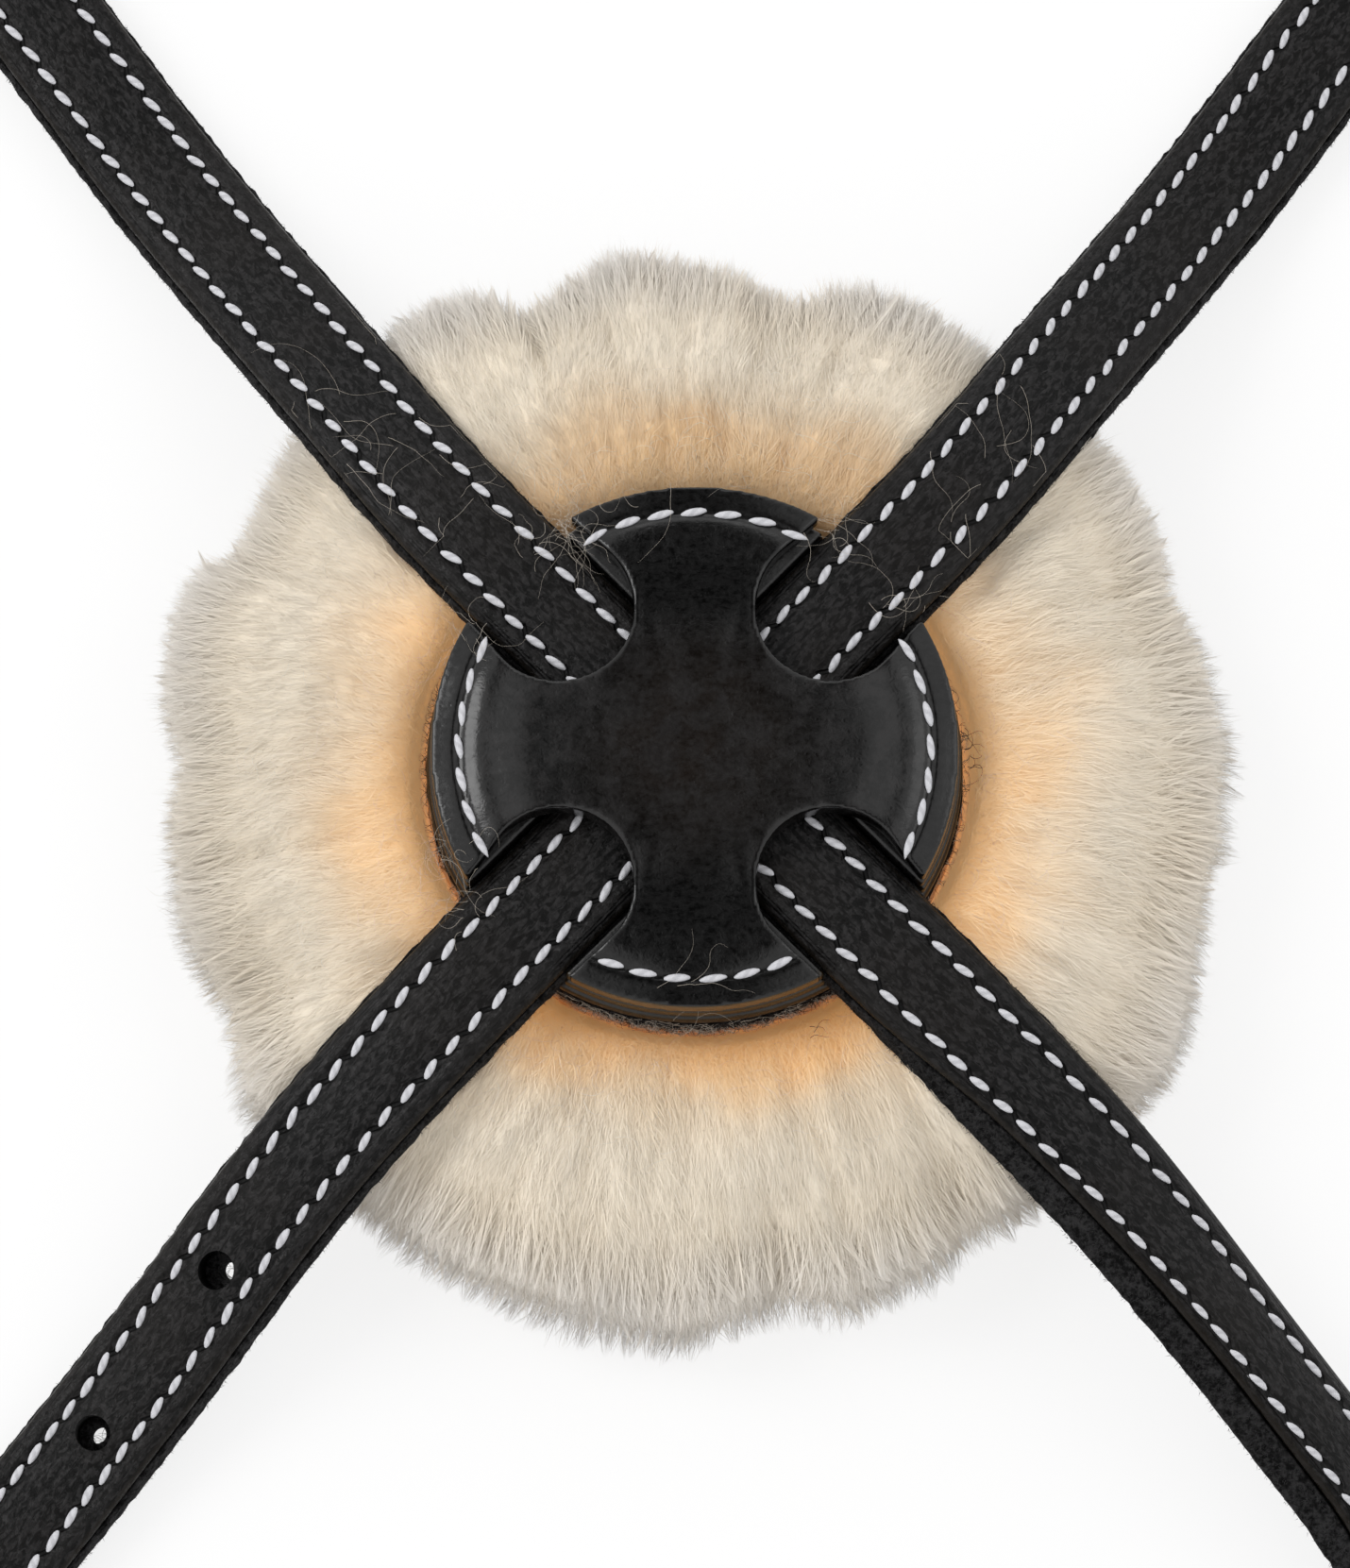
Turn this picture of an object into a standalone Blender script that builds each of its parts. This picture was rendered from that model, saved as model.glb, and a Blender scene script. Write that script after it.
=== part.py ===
"""Figure eight noseband, laid flat with its fleece down and its rosette up.

Two doubled straps cross inside a stitched leather rosette on a sheepskin pad. The upper arms end on
cheek rings that carry the jaw straps. The lower arms are the chin billet and the chin buckle strap.
+Z is up from the resting plane, +Y runs from the pad towards the cheek rings, and the origin is the
rosette's centre on the resting plane. Every length is in metres.
"""

import math

import bmesh
import bpy
from mathutils import Matrix, Vector

# Fits shared by all pieces
CLEARANCE = 0.0003  # between pieces that touch
CUT_OVERRUN = 0.004  # how far a cutter runs past what it cuts
MERGE = 0.000001  # below this, two points are one

# Strap: a leather face over a suede lining
STRAP_WIDTH = 0.0130
FACE_THICKNESS = 0.0022
LINING_THICKNESS = 0.0025
FACE_EDGE = 0.0007  # rounding of the face's top edges
LINING_EDGE = 0.0010  # rounding of the lining's lower edges
FINE_STEP = 0.0065  # between stations where a strap bends
COARSE_STEP = 0.0600  # between stations where it is straight
ROUTE_STEP = 0.0005  # of the route's sums

# Rosette, from the pad up
PAD_SEAT_HEIGHT = 0.0123  # the wool's top under the hide
HIDE_RADIUS = 0.0292
HIDE_THICKNESS = 0.0015
UNDERLAY_RADIUS = 0.0288
UNDERLAY_THICKNESS = 0.0020
BACKING_RADIUS = 0.0288
BACKING_THICKNESS = 0.0020
COVER_RADIUS = 0.0280
COVER_THICKNESS = 0.0026
COVER_LEVEL_REACH = 0.0175  # how far out the cover stays level over the straps
COVER_DROP = 0.0010  # of its underside from there to the rim
SPACER_THICKNESS = 0.0040
SPACER_SIDE_GAP = 0.0006  # beside a strap
NOTCH_RADIUS = 0.0080
NOTCH_REACH = 0.0208  # from the centre to the notch's own centre
NOTCH_MOUTH = 0.0190  # its width at the rim
LOBE_CORNER = 0.0018
SKIVED_THICKNESS = 0.0022  # of each strap where the two cross
CROSSING_SLOPE = 0.0030  # length of a strap's step over or under the other
DISC_SIDES = 64
COVER_CELLS = 20

# Sheepskin wool, as a turned cushion
WOOL_RADIUS = 0.0575
WOOL_BASE_RADIUS = 0.0500
WOOL_WIDEST_HEIGHT = 0.0080
WOOL_CREST_RADIUS = 0.0400
WOOL_CREST_HEIGHT = 0.0206
WOOL_BORE_GAP = 0.0006  # round the hide
WOOL_SIDES = 56
GROOVE_GAP = 0.0004  # under a strap
GROOVE_SIDE_GAP = 0.0006  # beside a strap
GROOVE_END = 0.0640  # how far out the grooves are cut

# Fold of each arm at the rosette's rim
FOLD_REACH = 0.0305
FOLD_UP_RELIEF = math.radians(32)
FOLD_DOWN_RELIEF = math.radians(17)

# Straps in plan and height
CROSS_ANGLE = math.radians(46)  # of both straps at the rosette, from the X axis
UPPER_ANGLE = math.radians(54)  # of the upper arms further out
LOWER_ANGLE = math.radians(51)  # of the lower arms further out
UPPER_TURN = (0.0280, 0.0520)  # where the upper arms turn between the two
LOWER_TURN = (0.0420, 0.0760)
UPPER_DROP = (0.0305, 0.1000)  # where they come down from the pad to the table
BILLET_DROP = (0.0305, 0.1020)
BUCKLE_DROP = (0.0305, 0.1250)
BUCKLE_ROLL = math.radians(33)  # of the buckle arm on its way down
BUCKLE_ROLL_TURN = (0.0330, 0.0880, 0.1000, 0.1280)
BILLET_ROLL = math.radians(6)
BILLET_ROLL_TURN = (0.0330, 0.0700, 0.0900, 0.1200)
UPPER_LENGTH = 0.1900  # from the centre to the ring's wire
BILLET_LENGTH = 0.3000  # from the centre to the point
BUCKLE_LENGTH = 0.1900  # from the centre to the buckle's bar
JAW_BILLET_LENGTH = 0.3000  # from the ring's wire to the point
JAW_STRAP_LENGTH = 0.1150  # from the ring's wire to the buckle's bar
JAW_SPREAD = math.radians(76)  # between an upper arm and its jaw strap, at the ring
JAW_LIFT = (0.0280, 0.0460)  # where the jaw buckle strap rises to its keepers

# Billet holes and point
HOLE_RADIUS = 0.0020
HOLE_SIDES = 12
HOLE_PITCH = 0.0220
CHIN_FIRST_HOLE = 0.0720  # from the centre
CHIN_HOLES = 9
JAW_LAST_HOLE = 0.0520  # from the point
JAW_HOLES = 9
POINT_LENGTH = 0.0140
POINT_SHARES = ((1.0, 1.0), (0.75, 0.93), (0.5, 0.78), (0.25, 0.52), (0.0, 0.16))

# Cheek rings
RING_WIRE = 0.0020
RING_RADIUS = 0.0160  # of the wire's centre
RING_HOLLOW = 0.0028  # half the height inside the loops, so that the curved wire can tilt
RING_SIDES = 40
WIRE_SIDES = 10

# Strap ends turned round a ring or a bar
TURN_LEAD = 0.0200  # where the face starts to rise over the wire
TURN_LAP = 0.0260  # how far the turned end runs back
TURN_STEPS = 8
LEAD_STEPS = 4

# Buckles
BUCKLE_WIRE = 0.0013
BUCKLE_HALF_WIDTH = 0.0083  # of the wire's centre
BUCKLE_REACH = 0.0150  # from the bar to the front wire
BUCKLE_CORNER = 0.0035
CORNER_STEPS = 4
TONGUE_WIRE = 0.0010
TONGUE_OVERHANG = 0.0012  # past the front wire's centre
TONGUE_EYE_STEPS = 8
TONGUE_EYE_TURN = math.radians(280)
SLOT_WIDTH = 0.0032  # in the turned end, for the tongue
SLOT_LENGTH = 0.0100  # back from the bar

# Keepers
KEEPER_THICKNESS = 0.0016
KEEPER_LENGTH = 0.0070  # along the strap
KEEPER_PLAY = 0.0005  # beside the strap
KEEPER_ROOM = 0.0056  # above the strap, for the billet
KEEPER_CORNER = 0.0012
KEEPER_REST = 0.0001  # under the band
FIXED_KEEPER_BACK = 0.0310  # from the bar
RUNNER_BACK = 0.0440

# Worked out from the sizes above
STRAP_THICKNESS = LINING_THICKNESS + CLEARANCE + FACE_THICKNESS
FOLD_LEVEL = LINING_THICKNESS + CLEARANCE / 2
HIDE_BOTTOM = PAD_SEAT_HEIGHT + CLEARANCE
UNDERLAY_BOTTOM = HIDE_BOTTOM + HIDE_THICKNESS + CLEARANCE
BACKING_BOTTOM = UNDERLAY_BOTTOM + UNDERLAY_THICKNESS + CLEARANCE
STRAP_SEAT = BACKING_BOTTOM + BACKING_THICKNESS + CLEARANCE
KEEPER_LIFT = KEEPER_REST + KEEPER_THICKNESS + CLEARANCE
SAGITTA = RING_RADIUS - math.sqrt(RING_RADIUS**2 - (STRAP_WIDTH / 2) ** 2)
BAR_HOLLOW = BUCKLE_WIRE + CLEARANCE
RING_LEVEL = FACE_THICKNESS + RING_HOLLOW  # a ring's wire above its straps' underside
BAR_LEVEL = FACE_THICKNESS + BAR_HOLLOW

BLACK = (0.012, 0.011, 0.011)
SUEDE_BLACK = (0.009, 0.009, 0.010)
FLEECE = (0.78, 0.70, 0.60)
HIDE = (0.76, 0.54, 0.40)
STEEL = (0.62, 0.62, 0.64)

UP = Vector((0.0, 0.0, 1.0))

for old in list(bpy.data.objects):
    bpy.data.objects.remove(old, do_unlink=True)

parts = bpy.data.collections.new("figure_eight_noseband")
cutters = bpy.data.collections.new("cutters")
bpy.context.scene.collection.children.link(parts)
bpy.context.scene.collection.children.link(cutters)
pivots = {}


def material(name, colour, roughness, metallic=0.0):
    made = bpy.data.materials.get(name)
    if made is None:
        made = bpy.data.materials.new(name)
        made.use_nodes = True
        shader = made.node_tree.nodes["Principled BSDF"]
        shader.inputs["Base Color"].default_value = (*colour, 1.0)
        shader.inputs["Roughness"].default_value = roughness
        shader.inputs["Metallic"].default_value = metallic
    return made


def own_material(piece, kind):
    """Each piece has a material of its own, of one of the five kinds."""
    colour, roughness, metallic = {
        "leather": (BLACK, 0.45, 0.0),
        "suede": (SUEDE_BLACK, 0.95, 0.0),
        "wool": (FLEECE, 1.0, 0.0),
        "hide": (HIDE, 0.85, 0.0),
        "steel": (STEEL, 0.25, 1.0),
    }[kind]
    piece.data.materials.clear()
    piece.data.materials.append(material(piece.name, colour, roughness, metallic))


def new_object(name, data, collection=None):
    made = bpy.data.objects.new(name, data)
    (collection or parts).objects.link(made)
    return made


def take_over(name, collection=None):
    """Names the object that an operator has just made, and moves it into its collection."""
    made = bpy.context.active_object
    made.name = name
    made.data.name = name
    for home in list(made.users_collection):
        home.objects.unlink(made)
    (collection or parts).objects.link(made)
    return made


def as_cutter(piece):
    piece.hide_render = True
    piece.display_type = "WIRE"
    for home in list(piece.users_collection):
        home.objects.unlink(piece)
    cutters.objects.link(piece)
    return piece


def cut(piece, cutter, operation="DIFFERENCE"):
    step = piece.modifiers.new(operation.lower() + "_" + cutter.name, "BOOLEAN")
    step.operation = operation
    step.object = cutter


def baked(piece):
    """The piece as a plain mesh with its modifiers applied, its loose caps welded."""
    bpy.context.view_layer.update()
    found = piece.evaluated_get(bpy.context.evaluated_depsgraph_get())
    mesh = bpy.data.meshes.new_from_object(found)
    work = bmesh.new()
    work.from_mesh(mesh)
    bmesh.ops.remove_doubles(work, verts=work.verts, dist=MERGE)
    bmesh.ops.recalc_face_normals(work, faces=work.faces)
    work.to_mesh(mesh)
    work.free()
    name, place = piece.name, piece.matrix_world.copy()
    homes = list(piece.users_collection)
    bpy.data.objects.remove(piece, do_unlink=True)
    made = new_object(name, mesh, homes[0])
    made.matrix_world = place
    return made


def smooth(piece, angle):
    piece.data.shade_smooth()
    piece.data.set_sharp_from_angle(angle=math.radians(angle))


def pivot(name, place, parent=None):
    """An empty on a joint's axis. Pivots only shift, so a child's place is a difference."""
    made = bpy.data.objects.new(name, None)
    parts.objects.link(made)
    made.location = Vector(place)
    if parent:
        made.parent = pivots[parent][0]
        made.location = Vector(place) - pivots[parent][1]
    pivots[name] = (made, Vector(place))
    return made


def attach(piece, name):
    empty, place = pivots[name]
    piece.parent = empty
    piece.location = piece.location - place


def eased(knots, at):
    """A value that goes smoothly through (place, value) knots and holds beyond them."""
    if at <= knots[0][0]:
        return knots[0][1]
    for (start, low), (end, high) in zip(knots, knots[1:]):
        if at <= end:
            share = (at - start) / (end - start)
            return low + (high - low) * share * share * (3 - 2 * share)
    return knots[-1][1]


def flat_outline(name, loops, half, collection=None):
    """A filled 2D curve with one closed spline for each loop of points, extruded both ways by half."""
    curve = bpy.data.curves.new(name, "CURVE")
    curve.dimensions = "2D"
    curve.fill_mode = "BOTH"
    curve.extrude = half
    curve.render_resolution_u = 0
    for points in loops:
        spline = curve.splines.new("POLY")
        spline.points.add(len(points) - 1)
        for point, (x, y) in zip(spline.points, points):
            point.co = (x, y, 0.0, 1.0)
        spline.use_cyclic_u = True
    return new_object(name, curve, collection)


def rounded_box(half_x, low_y, high_y, corner, steps):
    """Points round a rectangle with rounded corners, anticlockwise."""
    points = []
    middles = (
        (half_x - corner, high_y - corner, 0),
        (corner - half_x, high_y - corner, 1),
        (corner - half_x, low_y + corner, 2),
        (half_x - corner, low_y + corner, 3),
    )
    for x, y, quarter in middles:
        for step in range(steps + 1):
            angle = (quarter + step / steps) * math.pi / 2
            points.append((x + corner * math.cos(angle), y + corner * math.sin(angle)))
    return points


def wire(name, points, radius, closed, resolution):
    """A round wire through the points."""
    curve = bpy.data.curves.new(name, "CURVE")
    curve.dimensions = "3D"
    curve.bevel_depth = radius
    curve.bevel_resolution = resolution
    curve.use_fill_caps = not closed
    curve.render_resolution_u = 0
    spline = curve.splines.new("POLY")
    spline.points.add(len(points) - 1)
    for point, place in zip(spline.points, points):
        point.co = (*place, 1.0)
    spline.use_cyclic_u = closed
    return new_object(name, curve)


class Route:
    """The middle of a strap's underside, by the length along it in plan."""

    def __init__(self, start, headings, heights, rolls, end):
        self.headings, self.heights, self.rolls, self.end = headings, heights, rolls, end
        self.places = [Vector((start[0], start[1], 0.0))]
        for step in range(round(end / ROUTE_STEP)):
            angle = eased(headings, (step + 0.5) * ROUTE_STEP)
            way = Vector((math.cos(angle), math.sin(angle), 0.0))
            self.places.append(self.places[-1] + way * ROUTE_STEP)

    def heading(self, at):
        angle = eased(self.headings, at)
        return Vector((math.cos(angle), math.sin(angle), 0.0))

    def place(self, at):
        index = min(int(at / ROUTE_STEP), len(self.places) - 2)
        share = at / ROUTE_STEP - index
        flat = self.places[index].lerp(self.places[index + 1], share)
        return flat + UP * eased(self.heights, at)

    def frame(self, at):
        """(place, the way along, the way to the left, the way up) there, with the strap's roll."""
        rise = eased(self.heights, at + ROUTE_STEP) - eased(self.heights, at - ROUTE_STEP)
        ahead = (self.heading(at) + UP * rise / (2 * ROUTE_STEP)).normalized()
        left = UP.cross(self.heading(at))
        roll = eased(self.rolls, at)
        left = left * math.cos(roll) + ahead.cross(left) * math.sin(roll)
        return self.place(at), ahead, left, ahead.cross(left)

    def stations(self, start, end):
        """Lengths from start to end: close together where the strap bends, far apart where it doesn't."""
        bent = [k for k in (self.headings, self.heights, self.rolls) if len(k) > 1]
        bends = [(k[0][0] - FINE_STEP, k[-1][0] + FINE_STEP) for k in bent]
        found = [start]
        while found[-1] < end - MERGE:
            at = found[-1]
            if any(low - MERGE < at < high for low, high in bends):
                step = FINE_STEP
            else:
                step = min([COARSE_STEP] + [low - at for low, _ in bends if low > at])
            found.append(min(at + step, end))
        return found


def upper_route(side):
    """side is -1 for the left arm, 1 for the right."""
    inner = CROSS_ANGLE if side > 0 else math.pi - CROSS_ANGLE
    outer = UPPER_ANGLE if side > 0 else math.pi - UPPER_ANGLE
    headings = ((UPPER_TURN[0], inner), (UPPER_TURN[1], outer))
    heights = ((UPPER_DROP[0], STRAP_SEAT), (UPPER_DROP[1], 0.0))
    return Route((0.0, 0.0), headings, heights, ((0.0, 0.0),), UPPER_LENGTH)


def billet_route():
    headings = ((LOWER_TURN[0], CROSS_ANGLE - math.pi), (LOWER_TURN[1], LOWER_ANGLE - math.pi))
    heights = ((BILLET_DROP[0], STRAP_SEAT), (BILLET_DROP[1], 0.0))
    rolls = tuple(zip(BILLET_ROLL_TURN, (0.0, BILLET_ROLL, BILLET_ROLL, 0.0)))
    return Route((0.0, 0.0), headings, heights, rolls, BILLET_LENGTH)


def buckle_route():
    headings = ((LOWER_TURN[0], -CROSS_ANGLE), (LOWER_TURN[1], -LOWER_ANGLE))
    heights = ((BUCKLE_DROP[0], STRAP_SEAT), (BUCKLE_DROP[1], KEEPER_LIFT))
    rolls = tuple(zip(BUCKLE_ROLL_TURN, (0.0, -BUCKLE_ROLL, -BUCKLE_ROLL, 0.0)))
    return Route((0.0, 0.0), headings, heights, rolls, BUCKLE_LENGTH)


def ring_centre(side):
    route = upper_route(side)
    return route.place(UPPER_LENGTH) + route.heading(UPPER_LENGTH) * RING_RADIUS + UP * RING_LEVEL


def jaw_route(side):
    """From the ring's wire outwards. The left one is the billet, the right one carries the buckle."""
    back = upper_route(side).heading(UPPER_LENGTH) * -1
    angle = math.atan2(back.y, back.x) + JAW_SPREAD
    start = ring_centre(side) + Vector((math.cos(angle), math.sin(angle), 0.0)) * RING_RADIUS
    heights = ((0.0, 0.0),)
    if side > 0:
        heights = ((JAW_LIFT[0], 0.0), (JAW_LIFT[1], KEEPER_LIFT))
    length = JAW_STRAP_LENGTH if side > 0 else JAW_BILLET_LENGTH
    return Route((start.x, start.y), ((0.0, angle),), heights, ((0.0, 0.0),), length)


def turned_end(hollow, slack):
    """(along, up) points of the face's middle from its run up, over the wire and back under it."""
    level = LINING_THICKNESS + CLEARANCE + FACE_THICKNESS / 2
    middle = FACE_THICKNESS + hollow
    reach = hollow + FACE_THICKNESS / 2
    climb = ((-TURN_LEAD, level), (0.0, middle + reach))
    points = [(-TURN_LEAD * (1 - k / LEAD_STEPS), None) for k in range(LEAD_STEPS)]
    points = [(along, eased(climb, along)) for along, _ in points]
    for step in range(TURN_STEPS + 1):
        angle = math.pi * (0.5 - step / TURN_STEPS)
        points.append((slack + reach * math.cos(angle), middle + reach * math.sin(angle)))
    points.append((-TURN_LAP, FACE_THICKNESS / 2))
    return points


RING_TURN = (RING_HOLLOW, SAGITTA - (RING_HOLLOW - RING_WIRE - CLEARANCE))
BAR_TURN = (BAR_HOLLOW, 0.0)


def strap_section(thickness, edge, round_top):
    """(across, up) points of a strap layer about its own middle, with two rounded edges."""
    half, rise = STRAP_WIDTH / 2, thickness / 2
    points = [(-half, -rise), (half, -rise), (half, rise - edge)]
    points += [(half - edge, rise), (edge - half, rise), (-half, rise - edge)]
    return points if round_top else [(across, -up) for across, up in points]


def swept(name, stations, section):
    """A closed solid through stations of (place, left, up, width share, shear along by height)."""
    work = bmesh.new()
    rings = []
    for k, (place, left, up, width, shear) in enumerate(stations):
        ahead = left.cross(up)
        ring = []
        for across, rise in section:
            point = place + left * across * width + up * rise
            if shear:
                point = point + ahead * shear(rise)
            ring.append(work.verts.new(point))
        rings.append(ring)
    for first, second in zip(rings, rings[1:]):
        for k in range(len(section)):
            after = (k + 1) % len(section)
            work.faces.new((first[k], first[after], second[after], second[k]))
    work.faces.new(rings[0])
    work.faces.new(rings[-1])
    bmesh.ops.recalc_face_normals(work, faces=work.faces)
    mesh = bpy.data.meshes.new(name)
    work.to_mesh(mesh)
    work.free()
    made = new_object(name, mesh)
    smooth(made, 30)
    return made


def fold_shear(level):
    """The arm's inner end is a blunt wedge about the fold, so that the arm can fold both ways."""

    def shear(rise):
        height = level + rise - FOLD_LEVEL
        relief = FOLD_UP_RELIEF if height > 0 else FOLD_DOWN_RELIEF
        return abs(height) * math.tan(relief) + CLEARANCE / 2

    return shear


def tip_width(to_tip):
    share = to_tip / POINT_LENGTH
    for (far, wide), (near, narrow) in zip(POINT_SHARES, POINT_SHARES[1:]):
        if share >= near:
            return narrow + (wide - narrow) * min(1.0, (share - near) / (far - near))
    return POINT_SHARES[-1][1]


def end_stations(route, turn, at_start):
    """Stations of a turned end, in the order of the strap's own length."""
    at = 0.0 if at_start else route.end
    out = route.heading(at) * (-1 if at_start else 1)
    left = UP.cross(route.heading(at))
    foot = route.place(at)
    points = [foot + out * along + UP * up for along, up in turned_end(*turn)]
    if at_start:
        points.reverse()
    found = []
    for k, point in enumerate(points):
        ahead = points[min(k + 1, len(points) - 1)] - points[max(k - 1, 0)]
        found.append((point, left, ahead.normalized().cross(left), 1.0, None))
    return found


def layer(name, route, level, section, start, end, turns=(None, None), pointed=False, folds=False):
    """One layer of a strap. turns are the turned ends at its start and end, if it has them."""
    lengths = route.stations(start, end)
    if pointed:
        lengths = [at for at in lengths if at < end - POINT_LENGTH - MERGE]
        lengths += [end - far * POINT_LENGTH for far, _ in POINT_SHARES]
    found = []
    for at in lengths:
        place, ahead, left, up = route.frame(at)
        width = tip_width(end - at) if pointed else 1.0
        shear = fold_shear(level) if folds and at == start else None
        found.append((place + up * level, left, up, width, shear))
    if turns[0]:
        found = end_stations(route, turns[0], True) + found[1:]
    if turns[1]:
        found = found[:-1] + end_stations(route, turns[1], False)
    return swept(name, found, section)


FACE_SECTION = strap_section(FACE_THICKNESS, FACE_EDGE, True)
LINING_SECTION = strap_section(LINING_THICKNESS, LINING_EDGE, False)
FACE_MIDDLE = LINING_THICKNESS + CLEARANCE + FACE_THICKNESS / 2
LINING_MIDDLE = LINING_THICKNESS / 2


def strap(name, route, start, turns=(None, None), pointed=False, folds=False):
    """The face and the lining of one strap, as (face, lining). The lining stops at a turned end."""
    face_start = TURN_LEAD if turns[0] else start
    face_end = route.end - TURN_LEAD if turns[1] else route.end
    lining_start = TURN_LAP + CLEARANCE if turns[0] else start
    lining_end = route.end - TURN_LAP - CLEARANCE if turns[1] else route.end
    face = layer(
        name + "_face", route, FACE_MIDDLE, FACE_SECTION, face_start, face_end, turns, pointed, folds
    )
    lining = layer(
        name + "_lining",
        route,
        LINING_MIDDLE,
        LINING_SECTION,
        lining_start,
        lining_end,
        pointed=pointed,
        folds=folds,
    )
    own_material(face, "leather")
    own_material(lining, "suede")
    return face, lining


def punched(name, route, lengths, layers):
    """A row of round holes through both layers of a billet."""
    work = bmesh.new()
    for at in lengths:
        place, ahead, left, up = route.frame(at)
        turn = Matrix((left.cross(up), left, up)).transposed().to_4x4()
        middle = Matrix.Translation(place + up * STRAP_THICKNESS / 2) @ turn
        bmesh.ops.create_cone(
            work,
            cap_ends=True,
            segments=HOLE_SIDES,
            radius1=HOLE_RADIUS,
            radius2=HOLE_RADIUS,
            depth=STRAP_THICKNESS + CUT_OVERRUN,
            matrix=middle,
        )
    mesh = bpy.data.meshes.new(name)
    work.to_mesh(mesh)
    work.free()
    punch = as_cutter(new_object(name, mesh))
    for piece in layers:
        cut(piece, punch)


def disc(name, radius, bottom, thickness, kind, edge):
    bpy.ops.mesh.primitive_cylinder_add(
        vertices=DISC_SIDES,
        radius=radius,
        depth=thickness,
        location=(0.0, 0.0, bottom + thickness / 2),
    )
    made = take_over(name)
    rounding = made.modifiers.new("rounded_rim", "BEVEL")
    rounding.width = edge
    rounding.segments = 2
    rounding.limit_method = "ANGLE"
    rounding.angle_limit = math.radians(60)
    smooth(made, 40)
    own_material(made, kind)
    return made


def cover_plan():
    """The cover's outline as a tall prism: a disc with four notches and rounded lobe corners."""
    bpy.ops.mesh.primitive_cylinder_add(
        vertices=DISC_SIDES, radius=COVER_RADIUS, depth=2 * COVER_RADIUS, location=(0.0, 0.0, 0.0)
    )
    prism = as_cutter(take_over("cover_plan"))
    notches = []
    flare = COVER_RADIUS + CUT_OVERRUN
    for k in range(4):
        arc = [math.pi / 2 + math.pi * step / 12 for step in range(13)]
        outline = [
            (NOTCH_REACH + NOTCH_RADIUS * math.cos(a), NOTCH_RADIUS * math.sin(a)) for a in arc
        ]
        outline += [(flare, -NOTCH_MOUTH / 2), (flare, NOTCH_MOUTH / 2)]
        notch = flat_outline("notch_%d" % k, [outline], 2 * COVER_RADIUS, cutters)
        way = CROSS_ANGLE if k % 2 == 0 else math.pi - CROSS_ANGLE
        notch.rotation_euler = (0.0, 0.0, way + (math.pi if k > 1 else 0.0))
        notch = as_cutter(baked(notch))
        notches.append(notch)
        cut(prism, notch)
    prism = as_cutter(baked(prism))
    work = bmesh.new()
    work.from_mesh(prism.data)
    bmesh.ops.dissolve_limit(
        work, angle_limit=math.radians(1), verts=work.verts, edges=work.edges
    )
    corners = []
    for edge in work.edges:
        first, second = (v.co for v in edge.verts)
        upright = abs(first.z - second.z) > COVER_RADIUS
        on_rim = abs(Vector((first.x, first.y)).length - COVER_RADIUS) < CLEARANCE
        if upright and on_rim and edge.calc_face_angle(0.0) > math.radians(40):
            corners.append(edge)
    bmesh.ops.bevel(
        work, geom=corners, offset=LOBE_CORNER, segments=3, affect="EDGES", profile=0.5
    )
    work.to_mesh(prism.data)
    work.free()
    return prism


def cover_underside(out):
    """The cover is level over the two straps and drops a little to its rim."""
    top = STRAP_SEAT + STRAP_THICKNESS + CLEARANCE
    return eased(((COVER_LEVEL_REACH, top), (COVER_RADIUS, top - COVER_DROP)), out)


def spacer(word, way, half_angle):
    """Fills one lobe of the rosette between its backing and its cover, beside the straps."""
    corner = (STRAP_WIDTH / 2 + SPACER_SIDE_GAP) / math.sin(half_angle)
    far = 2 * COVER_RADIUS
    along, across = corner + far * math.cos(half_angle), far * math.sin(half_angle)
    outline = [(corner, 0.0), (along, -across), (along, across)]
    made = flat_outline("rosette_spacer_" + word, [outline], SPACER_THICKNESS / 2)
    made.rotation_euler = (0.0, 0.0, way)
    made.location = (0.0, 0.0, STRAP_SEAT + SPACER_THICKNESS / 2)
    made = baked(made)
    cut(made, cover_plan(), "INTERSECT")
    own_material(made, "leather")
    return made


def rosette_cover():
    bpy.ops.mesh.primitive_grid_add(
        x_subdivisions=COVER_CELLS,
        y_subdivisions=COVER_CELLS,
        size=2 * (COVER_RADIUS + CLEARANCE),
        location=(0.0, 0.0, 0.0),
    )
    made = take_over("rosette_cover")
    for vertex in made.data.vertices:
        vertex.co.z = cover_underside(math.hypot(vertex.co.x, vertex.co.y))
    shell = made.modifiers.new("leather", "SOLIDIFY")
    shell.thickness = COVER_THICKNESS
    shell.offset = 1.0
    cut(made, cover_plan(), "INTERSECT")
    smooth(made, 40)
    own_material(made, "leather")
    return made


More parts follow.
